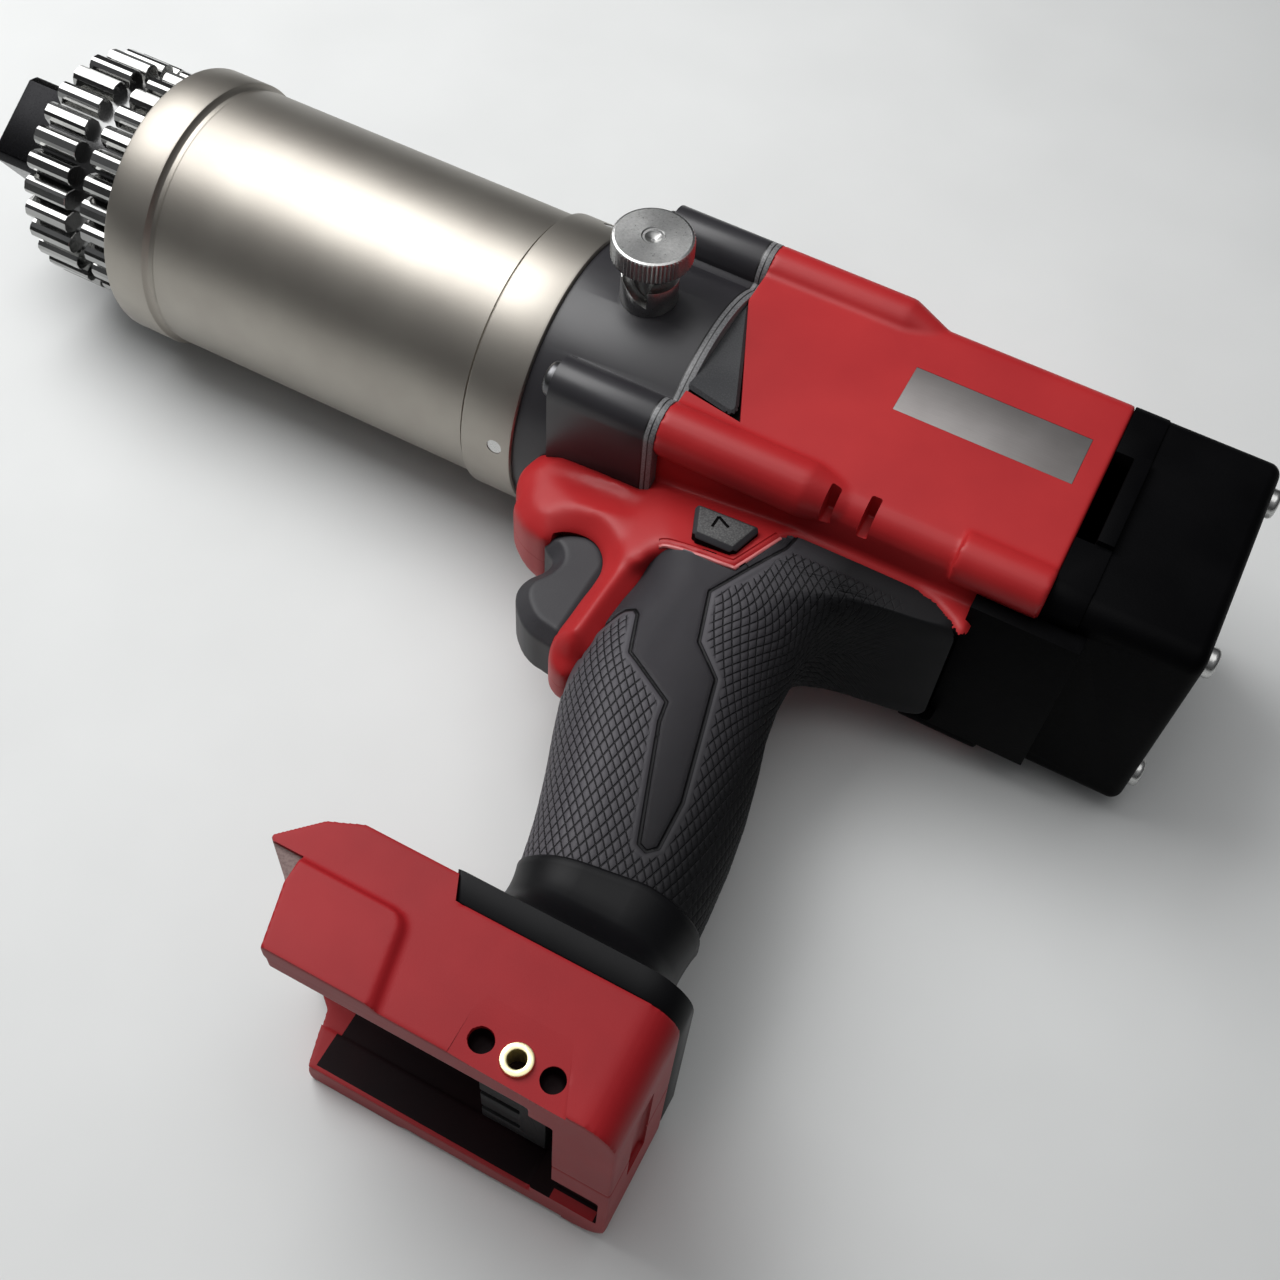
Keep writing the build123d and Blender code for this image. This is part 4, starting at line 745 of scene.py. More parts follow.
# Shift knob: turned head with a dimple, straight knurl, stem and crank, and the bush under it
KNOB_PROFILE = [  # height, radius
    (31.4, 5.0), (35.2, 5.0), (35.4, 4.0), (48.7, 4.0), (48.7, 9.0), (48.9, 9.5), (49.3, 9.85), (54.1, 9.85),
    (54.5, 9.5), (54.7, 9.0), (54.7, 2.9), (54.45, 2.6), (54.45, 2.0), (54.1, 1.6), (53.4, 0.5),
]
KNURL_RADIUS, KNURL_STEP, KNURL_SHARE = 9.6, 3, 0.955  # where it starts, its degrees, its groove's share
CRANK_REACH = 3
knob = turned("knob", KNOB_PROFILE, (KNOB_X, 0, 0), axis="Z", sides=120)
co = points_of(knob) - np.array((KNOB_X * MM, 0, 0))
angle = np.degrees(np.arctan2(co[:, 1], co[:, 0]))
grooves = (np.hypot(co[:, 0], co[:, 1]) > KNURL_RADIUS * MM) & (np.round(angle / KNURL_STEP) % 2 == 0)
co[grooves, :2] *= KNURL_SHARE
place_points(knob, co + np.array((KNOB_X * MM, 0, 0)))
crank = rod("crank", (KNOB_X + CRANK_REACH, 0, 29.5), 3, 2.0, axis="Z")
knob = join("knob", [knob, crank])
smooth(knob, 20)
stands_for(knob, "shift_knob", knob_steel, "shift_knob")
eased_piece("shift_bush", "knob_bush", 0.35, 2, knob_steel)

# Red housing: barrel, corner ribs, rear bosses, saddle and nose, melted into one skin
BARREL_HALF, BARREL_ROUND, BARREL_REAR = 33, 6, 254
BARREL_FLAT = BARREL_HALF - BARREL_ROUND
RIB_RADIUS, RIB_LENGTH, RIB_END, RIB_TIP = 6.5, 36, 16, 3.0
REAR_BOSS_X, REAR_BOSS_REACH, REAR_BOSS_RADIUS = 233, 29, 6
forms = [
    bar("barrel", (GASKET_X, -BARREL_HALF, -BARREL_FLAT), (BARREL_REAR, BARREL_HALF, BARREL_FLAT)),
    bar("barrel", (GASKET_X, -BARREL_FLAT, -BARREL_HALF), (BARREL_REAR, BARREL_FLAT, BARREL_HALF)),
]
for side_y in (-1, 1):
    for side_z in (-1, 1):
        corner = (GASKET_X, side_y * BARREL_FLAT, side_z * BARREL_FLAT)
        rib_y, rib_z = side_y * BOLT_REACH, side_z * BOLT_REACH
        forms.append(rod("corner", corner, BARREL_REAR - GASKET_X, BARREL_ROUND))
        forms.append(rod("rib", (GASKET_X, rib_y, rib_z), RIB_LENGTH, RIB_RADIUS))
        forms.append(rod("rib_end", (GASKET_X + RIB_LENGTH, rib_y, rib_z), RIB_END, RIB_RADIUS,
                         end_radius=RIB_TIP, shift=(-2 * side_y, -2 * side_z)))
    boss = (REAR_BOSS_X, -REAR_BOSS_REACH, side_y * REAR_BOSS_REACH)
    forms.append(rod("rear_boss", boss, BARREL_REAR - REAR_BOSS_X, REAR_BOSS_RADIUS))

# The nose's outline runs from its front round the trigger's opening and the guard to the saddle
NOSE_OUTLINE = (
    arc((GASKET_X - 23.6, -43.5), 7.9, 104, 215, 12)
    + arc((GASKET_X - 20.3, -46.5), 10.2, 214, 262, 7)
    + [(GASKET_X - 20.2, -56.4), (GASKET_X - 18.6, -57.0), (GASKET_X - 17.6, -56.2)]
    + arc((GASKET_X - 8.3, -61.8), 11.0, 148, -8, 30)
    + flowing([(GASKET_X + 2.4, -68.0), (GASKET_X + 2.2, -74.6), (GASKET_X + 1.9, -80.2),
               (GASKET_X + 2.5, -83.8), (GASKET_X + 4.2, -86.6), (GASKET_X + 6.4, -87.8)])
    + flowing([(167.2, -86.6), (167.6, -78.0), (168.0, -69.5), (168.4, -60.0), (168.8, -54.0)])
    + [(GASKET_X + 13.5, -44.0), (GASKET_X + 30.0, -30.0), (GASKET_X + 0.5, -30.0),
       (GASKET_X + 0.3, -36.0), (GASKET_X - 10.0, -36.2)]
)
NOSE_SET_BACK, TIP_THINNING, FRONT_THINNING = 3.3, 0.40, 0.26
nose = slab("nose", NOSE_OUTLINE, half=14.8, edge=2.4)
co = points_of(nose) / MM
co[:, 0] += NOSE_SET_BACK * ramp(co[:, 0], GASKET_X - 2, -26)
thinner = np.maximum(TIP_THINNING * ramp(co[:, 1], -80.3, -7),
                     FRONT_THINNING * ramp(co[:, 0], GASKET_X - 10, -14))
co += np.c_[-3.8 * thinner, 8.9 * thinner, -co[:, 2] * thinner]
place_points(nose, co * MM)
forms.append(nose)

SADDLE_EDGE = [
    (168.4, -57.5), (169.4, -53.8), (171.0, -51.8), (172.8, -51.1), (180.5, -50.6), (188.4, -50.2),
    (189.6, -49.2), (194.8, -37.4), (196.2, -35.8), (198.4, -35.1), (214.0, -34.9), (226.5, -34.9),
    (232.6, -36.5), (237.4, -39.1), (240.2, -41.4),
]
SADDLE_FRONT = [(GASKET_X, -29.0), (GASKET_X, -52.0), (165.0, -58.0)]
SADDLE_REAR = [(241.4, -40.6), (241.4, -29.0)]
saddle = slab("saddle", SADDLE_FRONT + SADDLE_EDGE + SADDLE_REAR, half=20.0, edge=1.0)
co = points_of(saddle)
co[:, 2] *= np.interp(co[:, 0], np.array([GASKET_X, GASKET_X + 17]) * MM, [0.72, 1.0])
place_points(saddle, co)
forms.append(saddle)

SOFT_STEPS = 4
housing = join("housing", forms)
melted(housing, voxel=0.7, softening=3)
co = points_of(housing) / MM
soft = housing.vertex_groups.new(name="soft")
weights = ramp(co[:, 0], GASKET_X + 14, -8) * ramp(co[:, 1], -36, -2)
for step in range(1, SOFT_STEPS + 1):
    picked = np.flatnonzero(np.ceil(weights * SOFT_STEPS) == step)
    soft.add(picked.tolist(), step / SOFT_STEPS, "REPLACE")
modify(housing, "SMOOTH", factor=0.5, iterations=40, vertex_group="soft")

# What is cut from the housing: room for the trigger, seats, vents, windows and the button's hole
VENTS = ((202.6, -28.4), (211.6, -26.2))  # middle in X, top
VENT_HALF = 1.3
WINDOW_HOLE = [(GASKET_X - 1, 16.4), (GASKET_X - 1, -19.6), (GASKET_X + 15.2, -22.2)]
WINDOW_PANEL = [
    (160.8, 12.8), (160.0, 8.0), (159.2, 1.0), (159.0, -6.0), (159.5, -13.0), (160.4, -17.8), (171.2, -20.1),
    (172.3, -20.0), (172.8, -19.1), (172.6, -17.8),
]
BUTTON_FACE = [(174.7, -39.9), (189.5, -39.0), (187.1, -47.2), (177.6, -47.5)]
cutters = [
    bar("tip_room", (233.5, -46, -18.7), (244, -34.9, 18.7)),
    bar("pocket", (GASKET_X - 14.6, -80, -9.8), (GASKET_X + 20, -52, 9.8)),
    bar("plate_seat", (204.3, -0.55, 32.4), (248.35, 14.55, 34)),
]
for side in SIDES.values():
    low, high = sorted((side * 26, side * 40))
    for vent_x, vent_top in VENTS:
        cutters.append(bar("vent", (vent_x - VENT_HALF, -42, low), (vent_x + VENT_HALF, vent_top, high), 0.6))
    cutters.append(shifted(slab("window", WINDOW_HOLE, half=4), (0, 0, side * 34.6)))
cutters.append(slab("button_hole", BUTTON_FACE, half=30, edge=0.85, depth=0.5))
cut(housing, join("cutters", cutters))

# A bead along the saddle's edge, with a fine groove beside it
EDGE_LINE = flowing(SADDLE_EDGE[2:8], 5)
GROOVE_LINE = beside(EDGE_LINE, 1.5)
skins = {side: on_skin(housing, GROOVE_LINE, side) for side in SIDES.values()}
nearest = [np.argmin(np.linalg.norm(GROOVE_LINE - point, axis=1)) for point in EDGE_LINE]
cut(housing, join("grooves", [bead("groove", np.c_[GROOVE_LINE, skin], 0.38, 6) for skin in skins.values()]))

for hand, side in SIDES.items():
    name = "housing_" + hand
    shell = half_of(housing, name + "_shell", side)
    skin_faces = len(shell.data.polygons)
    edge_bead = bead("edge_bead", np.c_[EDGE_LINE, skins[side][nearest] - side * 0.55], 0.5)
    shell = join(name + "_shell", [shell, edge_bead])
    smooth(shell, 45)
    stands_for(shell, "tool_body", red, name)
    at, facing = face_centres(shell), of_faces(shell, "normal")
    # The edge bead's faces take the lighter red, a painted highlight along the saddle's edge
    second_finish(shell, painted_highlight_red, np.arange(len(at)) >= skin_faces)
    # Painted shade: near black on the window recess's walls and on the button hole's walls
    in_window = inside(at, x=(-NO_LIMIT, GASKET_X + 16), y=(-22.8, 17), out=(29, 32.5))
    in_button = (inside(at, x=(GASKET_X + 12.2, GASKET_X + 31.4), y=(-48.8, -38.0), out=(-NO_LIMIT, 19.5))
                 & (np.abs(facing[:, 2]) < 0.5))
    second_finish(shell, recess_shade, in_window | in_button)
    under = inside(at, x=(231, NO_LIMIT), y=(-NO_LIMIT, -27), out=(-NO_LIMIT, 33.4)) & (facing[:, 1] < -0.3)
    shaded = inside(at, out=(-NO_LIMIT, 18.9)) | (side < 0)
    hidden_tip = (inside(at, x=(235, NO_LIMIT), y=(-NO_LIMIT, -35.5)) & (at[:, 2] < 0)
                  & (facing[:, 2] > -0.5))
    second_finish(shell, rear_black, hidden_tip | (under & shaded))
bpy.data.objects.remove(housing)

for hand, side in SIDES.items():
    name = "window_insert_" + hand
    panel = slab(name + "_panel", WINDOW_PANEL, half=0.8, edge=0.4)
    smooth(shifted(panel, (0, 0, side * 32.0)), 40)
    stands_for(panel, "tool_body", window_grey, name)
eased_piece("name_plate", "bare_name_plate", 0.12, 2, plate_silver)

# Rear belt and cover
eased_piece("rear_belt", "belt", 0.6, 2, rear_black)
eased_piece("rear_cover", "cover", 0.9, 3, rear_black)

# Grip: one form in rings from the barrel to the neck, with a lozenge texture and smooth inlays
GRIP = np.array([  # drop below the axis, front, back, width, corner as a share of the width
    (32, 166, 240.6, 39.0, 0.12), (36, 166, 240.6, 39.0, 0.12), (39, 166.3, 240.6, 39.0, 0.12),
    (41.6, 166.4, 239.6, 39.0, 0.13), (42.6, 166.5, 233.0, 39.0, 0.14), (44.2, 166.7, 221, 38.9, 0.17),
    (47.9, 167.1, 213.8, 38.6, 0.25), (52, 167.3, 210.9, 38.0, 0.34), (57, 167.4, 210.0, 37.2, 0.42),
    (66, 165.8, 210.2, 36, 0.46), (76, 165.2, 211.6, 35.3, 0.46), (86, 166.3, 214.2, 35, 0.46),
    (97, 169.6, 216.6, 34.2, 0.46), (108, 173.6, 218.2, 33.5, 0.46), (120, 177.4, 219.2, 32.5, 0.46),
    (131, 180.0, 219.7, 31.5, 0.46),
])
AROUND, DOWN = 320, 234  # points round the grip, rows down it
GRIP_TOP, NECK_TOP = 32.5, 131.0
INLAY = [
    (160.0, -73.0), (166.6, -77.8), (170.4, -70.6), (171.6, -69.3), (173.9, -68.9), (175.3, -70.2),
    (178.7, -80.2), (191.5, -87.6), (192.3, -92.6), (201.6, -119.4), (203.6, -120.2), (205.4, -118.4),
    (205.1, -107.1), (200.6, -87.9), (198.1, -77.4), (190.6, -70.8), (186.8, -58.0), (197.0, -39.2),
    (199.0, -28.0), (160.0, -28.0),
]
RED_EDGE = [(140, -57.5)] + SADDLE_EDGE + [(250, -41.2), (250, -20), (140, -20)]
GUARD_EDGE = [(40, 169.5), (60, 169.0), (78, 168.2), (86, 167.8), (90.5, 167.3), (92, 160)]  # drop, X
SNAP = 0.22  # points this near an outline move onto it
LOZENGE_DROP, LOZENGE_AROUND, LOZENGE_HEIGHT = 3.7, 2.2, 0.30
RIM_GROOVE, RIM_CREST = 0.34, 0.20  # depth and height along the inlay's outline
RUBBER, INLAY_RUBBER = 2.4, 1.3  # thicknesses


def smooth_between(levels, values, wanted):
    """Values between levels on a curve with even slopes."""
    slopes = np.gradient(values, levels)
    place = np.clip(np.searchsorted(levels, wanted) - 1, 0, len(levels) - 2)
    step = levels[place + 1] - levels[place]
    t = (wanted - levels[place]) / step
    return curve_between(t, values[place], values[place + 1], step * slopes[place], step * slopes[place + 1])


def rounded_section(front, back, width, corner, count):
    """Points evenly spaced round a rounded rectangle in X and Z, from the middle of its back."""
    half_x, half_z = (back - front) / 2 - corner, width / 2 - corner
    bend = math.pi / 2 * corner
    ends = np.cumsum([0, half_z, bend, 2 * half_x, bend, 2 * half_z, bend, 2 * half_x, bend, half_z])
    centres = [(half_x, half_z), (-half_x, half_z), (-half_x, -half_z), (half_x, -half_z)]
    straights = [((half_x + corner, 0), (0, 1)), ((half_x, half_z + corner), (-1, 0)),
                 ((-half_x - corner, half_z), (0, -1)), ((-half_x, -half_z - corner), (1, 0)),
                 ((half_x + corner, -half_z), (0, 1))]
    along = np.linspace(0, ends[-1], count, endpoint=False)
    points = np.zeros((count, 2))
    for run in range(len(ends) - 1):
        here = (along >= ends[run]) & (along < ends[run + 1])
        t = along[here] - ends[run]
        if run % 2:
            centre = centres[run // 2]
            turn = t / corner + run // 2 * math.pi / 2
            points[here] = np.c_[centre[0] + corner * np.cos(turn), centre[1] + corner * np.sin(turn)]
        else:
            start, step = straights[run // 2]
            points[here] = np.c_[start[0] + step[0] * t, start[1] + step[1] * t]
    return points + ((front + back) / 2, 0)


def from_outline(points, outline):
    """Distance of points from a closed outline, below zero inside, and the nearest points on it."""
    best = np.full(len(points), 1e9)
    nearest = np.zeros_like(points)
    within = np.zeros(len(points), bool)
    for start, end in zip(outline, outline[1:] + outline[:1]):
        a, b = np.array(start), np.array(end)
        t = np.clip((points - a) @ (b - a) / ((b - a) @ (b - a)), 0, 1)
        foot = a + t[:, None] * (b - a)
        gap = np.hypot(*(points - foot).T)
        closer = gap < best
        best[closer] = gap[closer]
        nearest[closer] = foot[closer]
        crosses = (a[1] > points[:, 1]) != (b[1] > points[:, 1])
        with np.errstate(divide="ignore", invalid="ignore"):
            at = a[0] + (points[:, 1] - a[1]) / (b[1] - a[1]) * (b[0] - a[0])
        within ^= crosses & (points[:, 0] < at)
    return np.where(within, -best, best), nearest


def snapped(skin, outline):
    """Moves points near an outline onto it, and gives the distance of all points from it."""
    gap, nearest = from_outline(skin[:, :2], outline)
    close = np.abs(gap) < SNAP
    skin[close, :2] = nearest[close]
    return np.where(close, 0, gap)


def neck_rise(x):
    """How far the neck's upper edge climbs towards the rear."""
    return 3.4 * ramp(x, 183, 24)


levels, level_fronts, level_backs, level_widths, level_corners = GRIP.T
rows = np.linspace(GRIP_TOP, NECK_TOP, DOWN)
fronts, widths, corners = (smooth_between(levels, values, rows)
                           for values in (level_fronts, level_widths, level_corners))
backs = np.interp(rows, levels, level_backs)
backs = np.convolve(np.pad(backs, 2, "edge"), np.ones(5) / 5, "valid")
rings = np.zeros((DOWN, AROUND, 3))
for row in range(DOWN):
    section = rounded_section(fronts[row], backs[row], widths[row], widths[row] * corners[row], AROUND)
    rings[row] = np.c_[section[:, 0], np.full(AROUND, -rows[row]), section[:, 1]]
grip = ring_tube("grip", rings)
skin = np.concatenate((rings, rings[:, :1]), axis=1).reshape(-1, 3)
inlay_gap = snapped(skin, INLAY)
red_gap = snapped(skin, RED_EDGE)
place_points(grip, skin * MM)

# Lozenges run by length round the grip and by drop, and fade out at the inlay, neck, saddle and guard
share = np.tile(np.linspace(0, 1, AROUND + 1), DOWN)
drop = np.repeat(rows, AROUND + 1)
perimeter = 2 * (backs - fronts) + 2 * widths - (8 - 2 * math.pi) * widths * corners
around = (share - 0.5) * np.repeat(perimeter, AROUND + 1)
lozenge_u = drop / LOZENGE_DROP + around / LOZENGE_AROUND
lozenge_v = drop / LOZENGE_DROP - around / LOZENGE_AROUND
crest = np.maximum(np.abs(lozenge_u % 1 - 0.5), np.abs(lozenge_v % 1 - 0.5)) * 2
lozenge = np.clip(1.35 * np.minimum(1, 2.2 * (1 - crest)), 0, 1)
neck_gap = NECK_TOP - neck_rise(skin[:, 0]) - drop
guard_gap = skin[:, 0] - np.interp(drop, *np.transpose(GUARD_EDGE))
textured = (ramp(inlay_gap, 1.7, 0.5) * ramp(neck_gap, 0.7, 0.6) * ramp(red_gap, 4.4, 0.6)
            * ramp(guard_gap, 0.8, 0.6) * ramp(skin[:, 0], 228, -14))
rim_groove = np.exp(-((inlay_gap - 0.1) / 0.6) ** 2)
rim_crest = np.exp(-((inlay_gap - 1.3) / 0.6) ** 2) * (drop > 38)
height = LOZENGE_HEIGHT * textured * lozenge - RIM_GROOVE * rim_groove + RIM_CREST * rim_crest
normals = np.empty(len(skin) * 3)
grip.data.vertices.foreach_get("normal", normals)
normals = normals.reshape(DOWN, AROUND + 1, 3)
normals[:, 0] = normals[:, -1] = unit(normals[:, 0] + normals[:, -1])
normals = normals.reshape(-1, 3)
middle = np.c_[np.repeat((fronts + backs) / 2, AROUND + 1), -drop, np.zeros(len(skin))]
if np.sum(normals * (skin - middle)) < 0:
    normals = -normals
place_points(grip, (skin + normals * height[:, None]) * MM)
corner_points = np.empty(len(grip.data.loops), np.int32)
grip.data.loops.foreach_get("vertex_index", corner_points)
weave = grip.data.attributes.new("weave", "FLOAT_VECTOR", "CORNER")
weave.data.foreach_set("vector", np.c_[lozenge_u, lozenge_v, textured][corner_points].ravel())
border = grip.data.attributes.new("border", "FLOAT", "CORNER")
border.data.foreach_set("value", (inlay_gap + BORDER_SHIFT)[corner_points])
outward(grip)

# Neck: a flare from the grip to a flange on the foot
NECK = np.array([  # drop, front, back, half width, front corner, back corner
    (129.8, 180.6, 219.0, 15.2, 14.0, 14.0), (130.0, 179.6, 220.2, 16.3, 14.6, 14.6),
    (130.6, 179.2, 220.6, 16.7, 14.8, 14.8), (132.0, 179.6, 220.3, 16.4, 14.6, 14.6),
    (136.0, 180.3, 219.9, 16.4, 14.0, 14.0), (140.0, 180.6, 220.6, 18.4, 13.5, 14.0),
    (143.5, 180.4, 222.2, 22.6, 12.0, 14.0), (146.0, 179.8, 224.4, 27.6, 9.0, 13.0),
    (147.8, 179.0, 226.4, 32.2, 5.0, 12.0), (148.7, 178.2, 227.5, 35.0, 1.5, 10.5),
    (149.1, 177.9, 228.0, 35.9, 0.8, 10.0), (154.6, 181.0, 228.0, 35.9, 0.8, 10.0),
    (155.0, 181.4, 227.4, 35.3, 0.8, 9.4), (155.0, 184.0, 225.0, 33.0, 0.8, 9.0),
])
LIP_ROWS, FLANGE_ROW = 3, 10  # the flare is a smooth curve between them
END_POINTS, SIDE_POINTS = 12, 34


def neck_section(drop, front, back, half, nose, heel):
    """A ring of points at one drop, with its own roundings in front and behind."""
    turn = np.linspace(0, math.pi / 2, END_POINTS)
    side = np.concatenate((
        np.c_[np.full(END_POINTS, front), np.linspace(0, half - nose, END_POINTS)],
        np.c_[front + nose - nose * np.cos(turn), half - nose + nose * np.sin(turn)][1:],
        np.c_[np.linspace(front + nose, back - heel, SIDE_POINTS), np.full(SIDE_POINTS, half)][1:],
        np.c_[back - heel + heel * np.sin(turn), half - heel + heel * np.cos(turn)][1:],
        np.c_[np.full(END_POINTS, back), np.linspace(half - heel, 0, END_POINTS)][1:]))
    ring = np.concatenate((side, side[-2:0:-1] * (1, -1)))
    return np.c_[ring[:, 0], np.full(len(ring), -drop), ring[:, 1]]


flare_drops = np.linspace(132.0, 148.7, 44)
flare_knots = NECK[LIP_ROWS - 1:FLANGE_ROW + 1]
flare_rows = np.array([flare_drops] + [smooth_between(flare_knots[:, 0], flare_knots[:, k], flare_drops)
                                       for k in range(1, 6)]).T
neck_rows = np.concatenate((NECK[:LIP_ROWS], flare_rows, NECK[FLANGE_ROW:]))
rings = np.array([neck_section(*row) for row in neck_rows])
rings[:, :, 1] += neck_rise(rings[:, :, 0]) * ramp(rings[:, :, 1], -137, 5)
neck = ring_tube("neck", rings)
outward(neck)

at = face_centres(grip)
doorway = inside(at, x=(-NO_LIMIT, 173), y=(-83, -49), out=(-NO_LIMIT, 10))  # where the trigger passes
above_edge, _ = from_outline(at[:, :2], RED_EDGE)
off_inlay, _ = from_outline(at[:, :2], INLAY)
for hand, side in SIDES.items():
    name, inlay_name = "grip_rubber_" + hand, "grip_inlay_" + hand
    sheet = half_sheet(grip, name + "_cover", side, (above_edge < 0) | doorway)
    patch = half_sheet(grip, inlay_name + "_patch", side, (off_inlay > 0) | (above_edge < 0.3) | doorway)
    modify(patch, "SOLIDIFY", thickness=INLAY_RUBBER * MM, offset=-1)
    smooth(patch, 50)
    stands_for(patch, "tool_body", inlay_black, inlay_name)
    modify(sheet, "SOLIDIFY", thickness=RUBBER * MM, offset=-1)
    flare = half_sheet(neck, "neck_half", side)
    modify(flare, "SOLIDIFY", thickness=RUBBER * MM, offset=-1)
    grip_faces = len(sheet.data.polygons)
    sheet = join(name + "_cover", [sheet, flare])
    smooth(sheet, 60)
    stands_for(sheet, "tool_body", grip_black, name)
    # The neck's faces take the darker copy of the rubber, painted shade on the downward flare
    second_finish(sheet, neck_shade, np.arange(len(sheet.data.polygons)) >= grip_faces)
bpy.data.objects.remove(grip)
bpy.data.objects.remove(neck)

# Trigger, hollow for its spring and narrower behind
TRIGGER_OUTLINE = (
    flowing([(143.9, -57.6), (146.6, -59.4), (147.7, -62.2), (146.8, -65.6), (145.0, -68.6), (144.5, -71.8),
             (146.0, -75.0), (149.0, -77.7), (152.8, -79.3), (157.0, -79.9), (161.0, -80.4)])
    + [(164.2, -80.6), (164.2, -57.0), (161.4, -56.7)]
    + arc((152.0, -61.8), 10.3, 30, 150, 20)
)
TRIGGER_SET_BACK, TRIGGER_NARROWING = 2.6, 0.22
trigger = slab("trigger_pull", [(x + TRIGGER_SET_BACK * ramp(x, 160, -12), y) for x, y in TRIGGER_OUTLINE],
               half=9.5, edge=1.6)
melted(trigger, voxel=0.42, softening=8)
cut(trigger, rod("spring_hollow", (158.6, -66, 0), 9, 3.9))
co = points_of(trigger) / MM
co[:, 2] *= 1 - TRIGGER_NARROWING * ramp(co[:, 0], 159.5, 4)
place_points(trigger, co * MM)
smooth(trigger, 50)
stands_for(trigger, "trigger", dark, "trigger")

# Direction button, with a chevron pressed into each end
BUTTON_HALF, BUTTON_SIDE = 22.1, 20.0  # from the parting plane to its faces, and to where its sides show
CHEVRON = (((180.4, -40.9), (180.3, -44.2)), ((180.4, -40.9), (183.7, -42.6)))
CHEVRON_MIDDLE, CHEVRON_REACH, STROKE_HALF = (181.8, -42.4), 2.6, 0.35
button = slab("button_bar", BUTTON_FACE, half=BUTTON_HALF, edge=0.5, depth=0.6)
modify(button, "BEVEL", width=0.2 * MM, segments=2, limit_method="ANGLE", angle_limit=math.radians(30))
for side in SIDES.values():
    for line in CHEVRON:
        outline = np.concatenate((beside(line, STROKE_HALF), beside(line, -STROKE_HALF)[::-1]))
        cut(button, shifted(slab("mark", outline, half=0.5), (0, 0, side * (BUTTON_HALF + 0.15))))
smooth(button, 30)
stands_for(button, "direction_button", button_grey, "direction_button")
at = face_centres(button)
in_chevron = (inside(at, out=(-NO_LIMIT, BUTTON_HALF - 0.11))
              & (np.hypot(at[:, 0] - CHEVRON_MIDDLE[0], at[:, 1] - CHEVRON_MIDDLE[1]) < CHEVRON_REACH))
# Painted shade: the button's visible sides take the dark plastic, and its hidden sides and the chevron's
# grooves take near black
second_finish(button, dark, inside(at, out=(BUTTON_SIDE, BUTTON_HALF - 0.14)))
second_finish(button, recess_shade, inside(at, out=(-NO_LIMIT, BUTTON_SIDE)) | in_chevron)

# Battery foot: each half with its raised pad, its seats and the battery's bay
FOOT_WALL, FOOT_TOP = 36.5, -149.95  # outside of the wall under the pad, and where the neck's flange begins
PAD_FOOT = [(150.5, -161.8), (173.0, -161.8), (175.0, -162.2), (176.4, -163.2), (177.3, -164.8),
            (177.8, -166.8), (181.0, -180.0), (155.4, -180.0), (151.6, -167.2)]
PAD_FACE = [(152.4, -162.4), (171.6, -162.4), (173.2, -162.8), (174.2, -163.7), (174.8, -165.0),
            (175.2, -166.8), (178.0, -180.0), (155.8, -180.0), (152.2, -167.2)]
PAD_RISE = ((0, 33.0), (0, 36.2), (0.3, 36.6), (0.75, 37.7), (1, 38.0))  # share of the way to the face, Z
FLANGE_SEAT = [(176.9, -146.0), (181.0, -155.1), (240, -155.1), (240, -146.0)]
VISOR_NOTCH = [(140.0, -161.2), (152.0, -161.2), (152.2, -166.6), (151.0, -172.0), (140.0, -172.0)]
SUNK_ENDS = ((194.3, 0.0, 0.35), (213.0, 0.42, 2.0))  # X at the top, slant, depth at the rim
SLOT_SIDE = -9.6  # Z past which the bay's slot runs further back
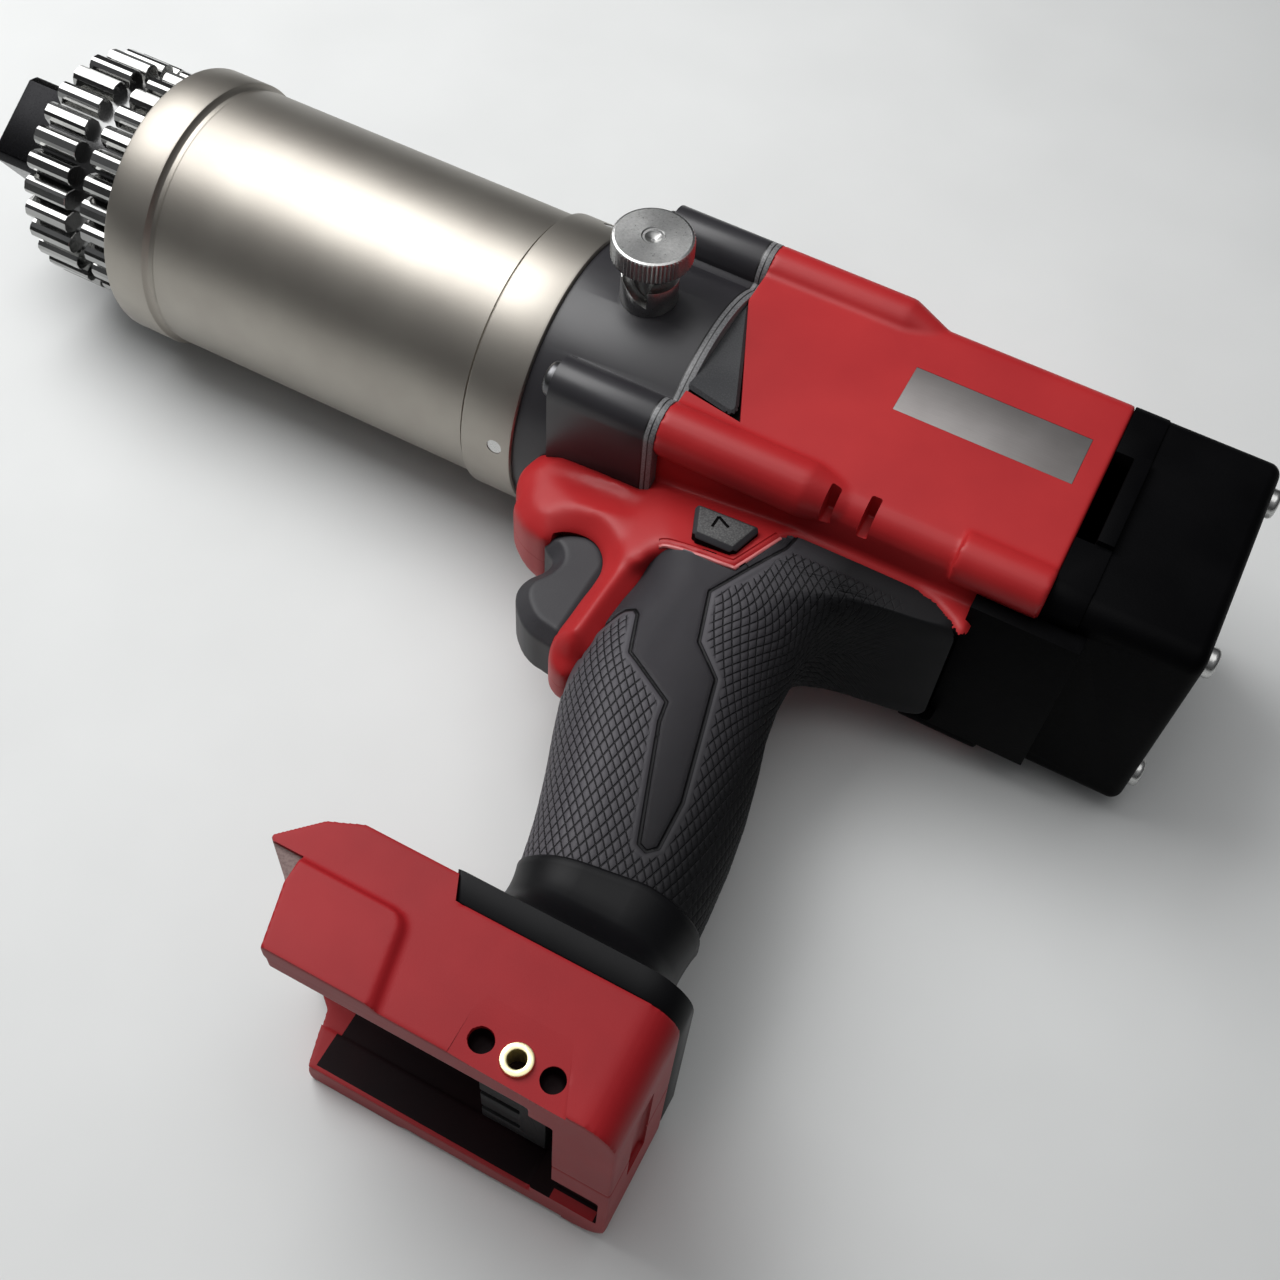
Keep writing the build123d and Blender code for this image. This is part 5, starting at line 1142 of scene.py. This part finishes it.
for hand, side in SIDES.items():
    name = "battery_foot_" + hand
    pad = capped("pad", [[(a + (c - a) * t, b + (d - b) * t, side * z)
                          for (a, b), (c, d) in zip(PAD_FOOT, PAD_FACE)] for t, z in PAD_RISE])
    core = from_node(name, name)
    in_edit_mode(core, lambda: bpy.ops.mesh.bisect(
        plane_co=(0, FOOT_TOP * MM, 0), plane_no=(0, 1, 0), use_fill=True, clear_outer=True))
    co = points_of(core) / MM
    co[(np.abs(co[:, 2]) > FOOT_WALL) & (co[:, 1] < -160), 2] = side * FOOT_WALL
    place_points(core, co * MM)
    shell = join(name + "_shell", [core, pad])
    melted(shell, voxel=0.55, softening=2)
    sunk = capped("sunk", [[(x + slant * (-168 - y), y, side * z)
                            for y, z in ((-167, 36.6), (-183, 36.6 - deep), (-183, 40), (-167, 40))]
                           for x, slant, deep in SUNK_ENDS])
    seat = slab("flange_seat", FLANGE_SEAT, half=45)
    notch = shifted(slab("visor_notch", VISOR_NOTCH, half=6), (0, 0, side * 41.4))
    latch = bar("latch", (226.8, -172.0, -12.0), (232.0, -164.5, 22.0), 0.8)
    cut(shell, join("seats", [seat, sunk, notch, latch]))
    cut(shell, bar("bay_end", (206.0, -183.0, -25.6), (215.6, -166.0, 25.0), 0.8))
    cut(shell, bar("bay_slot", (214.0, -183.0, -25.5), (226.0, -177.0, -9.5), 0.8))
    smooth(shell, 40)
    stands_for(shell, "tool_body", foot_red, name)
    at = face_centres(shell)
    # Painted shade: near black inside the battery's bay and in the wall's hole
    in_bay = (inside(at, x=(157.5, 225.9), y=(-179.2, -160.6), out=(-NO_LIMIT, 33.3))
              & ((at[:, 0] < 215.5) | (at[:, 2] < SLOT_SIDE)))
    in_hole = (inside(at, y=(-178.6, NO_LIMIT), out=(30.3, 35.4))
               & (np.hypot(at[:, 0] - 206.5, at[:, 1] + 174.5) < 12))
    second_finish(shell, bay_shade, in_bay | in_hole)
    # The visor notch's faces take the grey brown, painted shade
    in_notch = inside(at, x=(-NO_LIMIT, 152.6), y=(-NO_LIMIT, -161.0), out=(35.2, 35.6))
    second_finish(shell, facet_shade, in_notch)
eased_piece("clip_insert", "brass_insert", 0.35, 2, brass)
eased_piece("terminal_block", "contact_block", 0.3, 2, block_black)

# Floor: a painted pool of light, pale in the middle and darker far out
FLOOR_SIZE, FLOOR_MIDDLE = 6, (0.10, -0.26, cad_box[0][2])  # in metres, as are the lights
clear_selection()
bpy.ops.mesh.primitive_grid_add(x_subdivisions=8, y_subdivisions=8, size=FLOOR_SIZE, location=FLOOR_MIDDLE)
floor = fresh("floor")
floor_pale, shader, place = material("floor_pale", {"Specular IOR Level": 0.2, "Roughness": 0.6})
pale = place.noise(60, 3.0).between(*NOISE_SPAN).blend(rgb(0.68, 0.69, 0.685), rgb(0.72, 0.73, 0.725))
# Painted light: the floor darkens with distance from its middle
painted_light_falloff = place.length().between(0.26, 1.1)
connect(shader, colour=painted_light_falloff.blend(pale, rgb(0.30, 0.31, 0.31)))
floor.data.materials.append(floor_pale)


# Lights, sky and camera

def softbox(name, place, aim, size, power):
    """A square soft light at a place, turned towards its aim."""
    lamp = bpy.data.lights.new(name, "AREA")
    lamp.shape = "SQUARE"
    lamp.size = size
    lamp.energy = power
    box = bpy.data.objects.new(name, lamp)
    scene.collection.objects.link(box)
    box.location = place
    box.rotation_euler = (Vector(aim) - Vector(place)).to_track_quat("-Z", "Y").to_euler()


softbox("key_light", (-0.3, 0.07, 0.62), (0.12, -0.05, 0.0), size=0.6, power=5.2)
softbox("top_light", (0.0, 0.05, 1.5), (0.1, -0.05, 0.0), size=1.6, power=9.5)

SKY_STOPS = [(0.0, rgb(0.10, 0.10, 0.10)), (0.25, rgb(0.16, 0.16, 0.165)), (0.7, rgb(0.62, 0.63, 0.65)),
             (1.0, rgb(0.9, 0.91, 0.92))]
SKY_STRENGTH = 0.3
world = bpy.data.worlds.new("studio")
scene.world = world
world.use_nodes = True
sky = Wire(world.node_tree, world.node_tree.nodes.new("ShaderNodeTexCoord").outputs["Generated"])
shade = sky.node("ShaderNodeValToRGB", {"stops": SKY_STOPS}, {"Fac": sky.part(2)})
backdrop = world.node_tree.nodes["Background"]
world.node_tree.links.new(shade.socket, backdrop.inputs["Color"])
backdrop.inputs["Strength"].default_value = SKY_STRENGTH

SENSOR_WIDTH, FOCAL_PIXELS, PICTURE_PIXELS = 36.0, 1571.26, 1280
CAMERA_PLACE = (252.0, -248.7, 306.0)
CAMERA_RIGHT, CAMERA_DOWN = Vector((0.8837, 0.4649, 0.0542)), Vector((0.4174, -0.7303, -0.5409))
CAMERA_AHEAD = Vector((-0.2119, 0.5006, -0.8394))
lens = bpy.data.cameras.new("camera")
lens.sensor_width = SENSOR_WIDTH
lens.lens = FOCAL_PIXELS / PICTURE_PIXELS * SENSOR_WIDTH
lens.clip_start = 0.01
camera = bpy.data.objects.new("camera", lens)
scene.collection.objects.link(camera)
turn = Matrix((CAMERA_RIGHT, -CAMERA_DOWN, -CAMERA_AHEAD)).transposed().to_4x4()
camera.matrix_world = Matrix.Translation(Vector(CAMERA_PLACE) * MM) @ turn
scene.camera = camera
scene.view_settings.view_transform = "Standard"
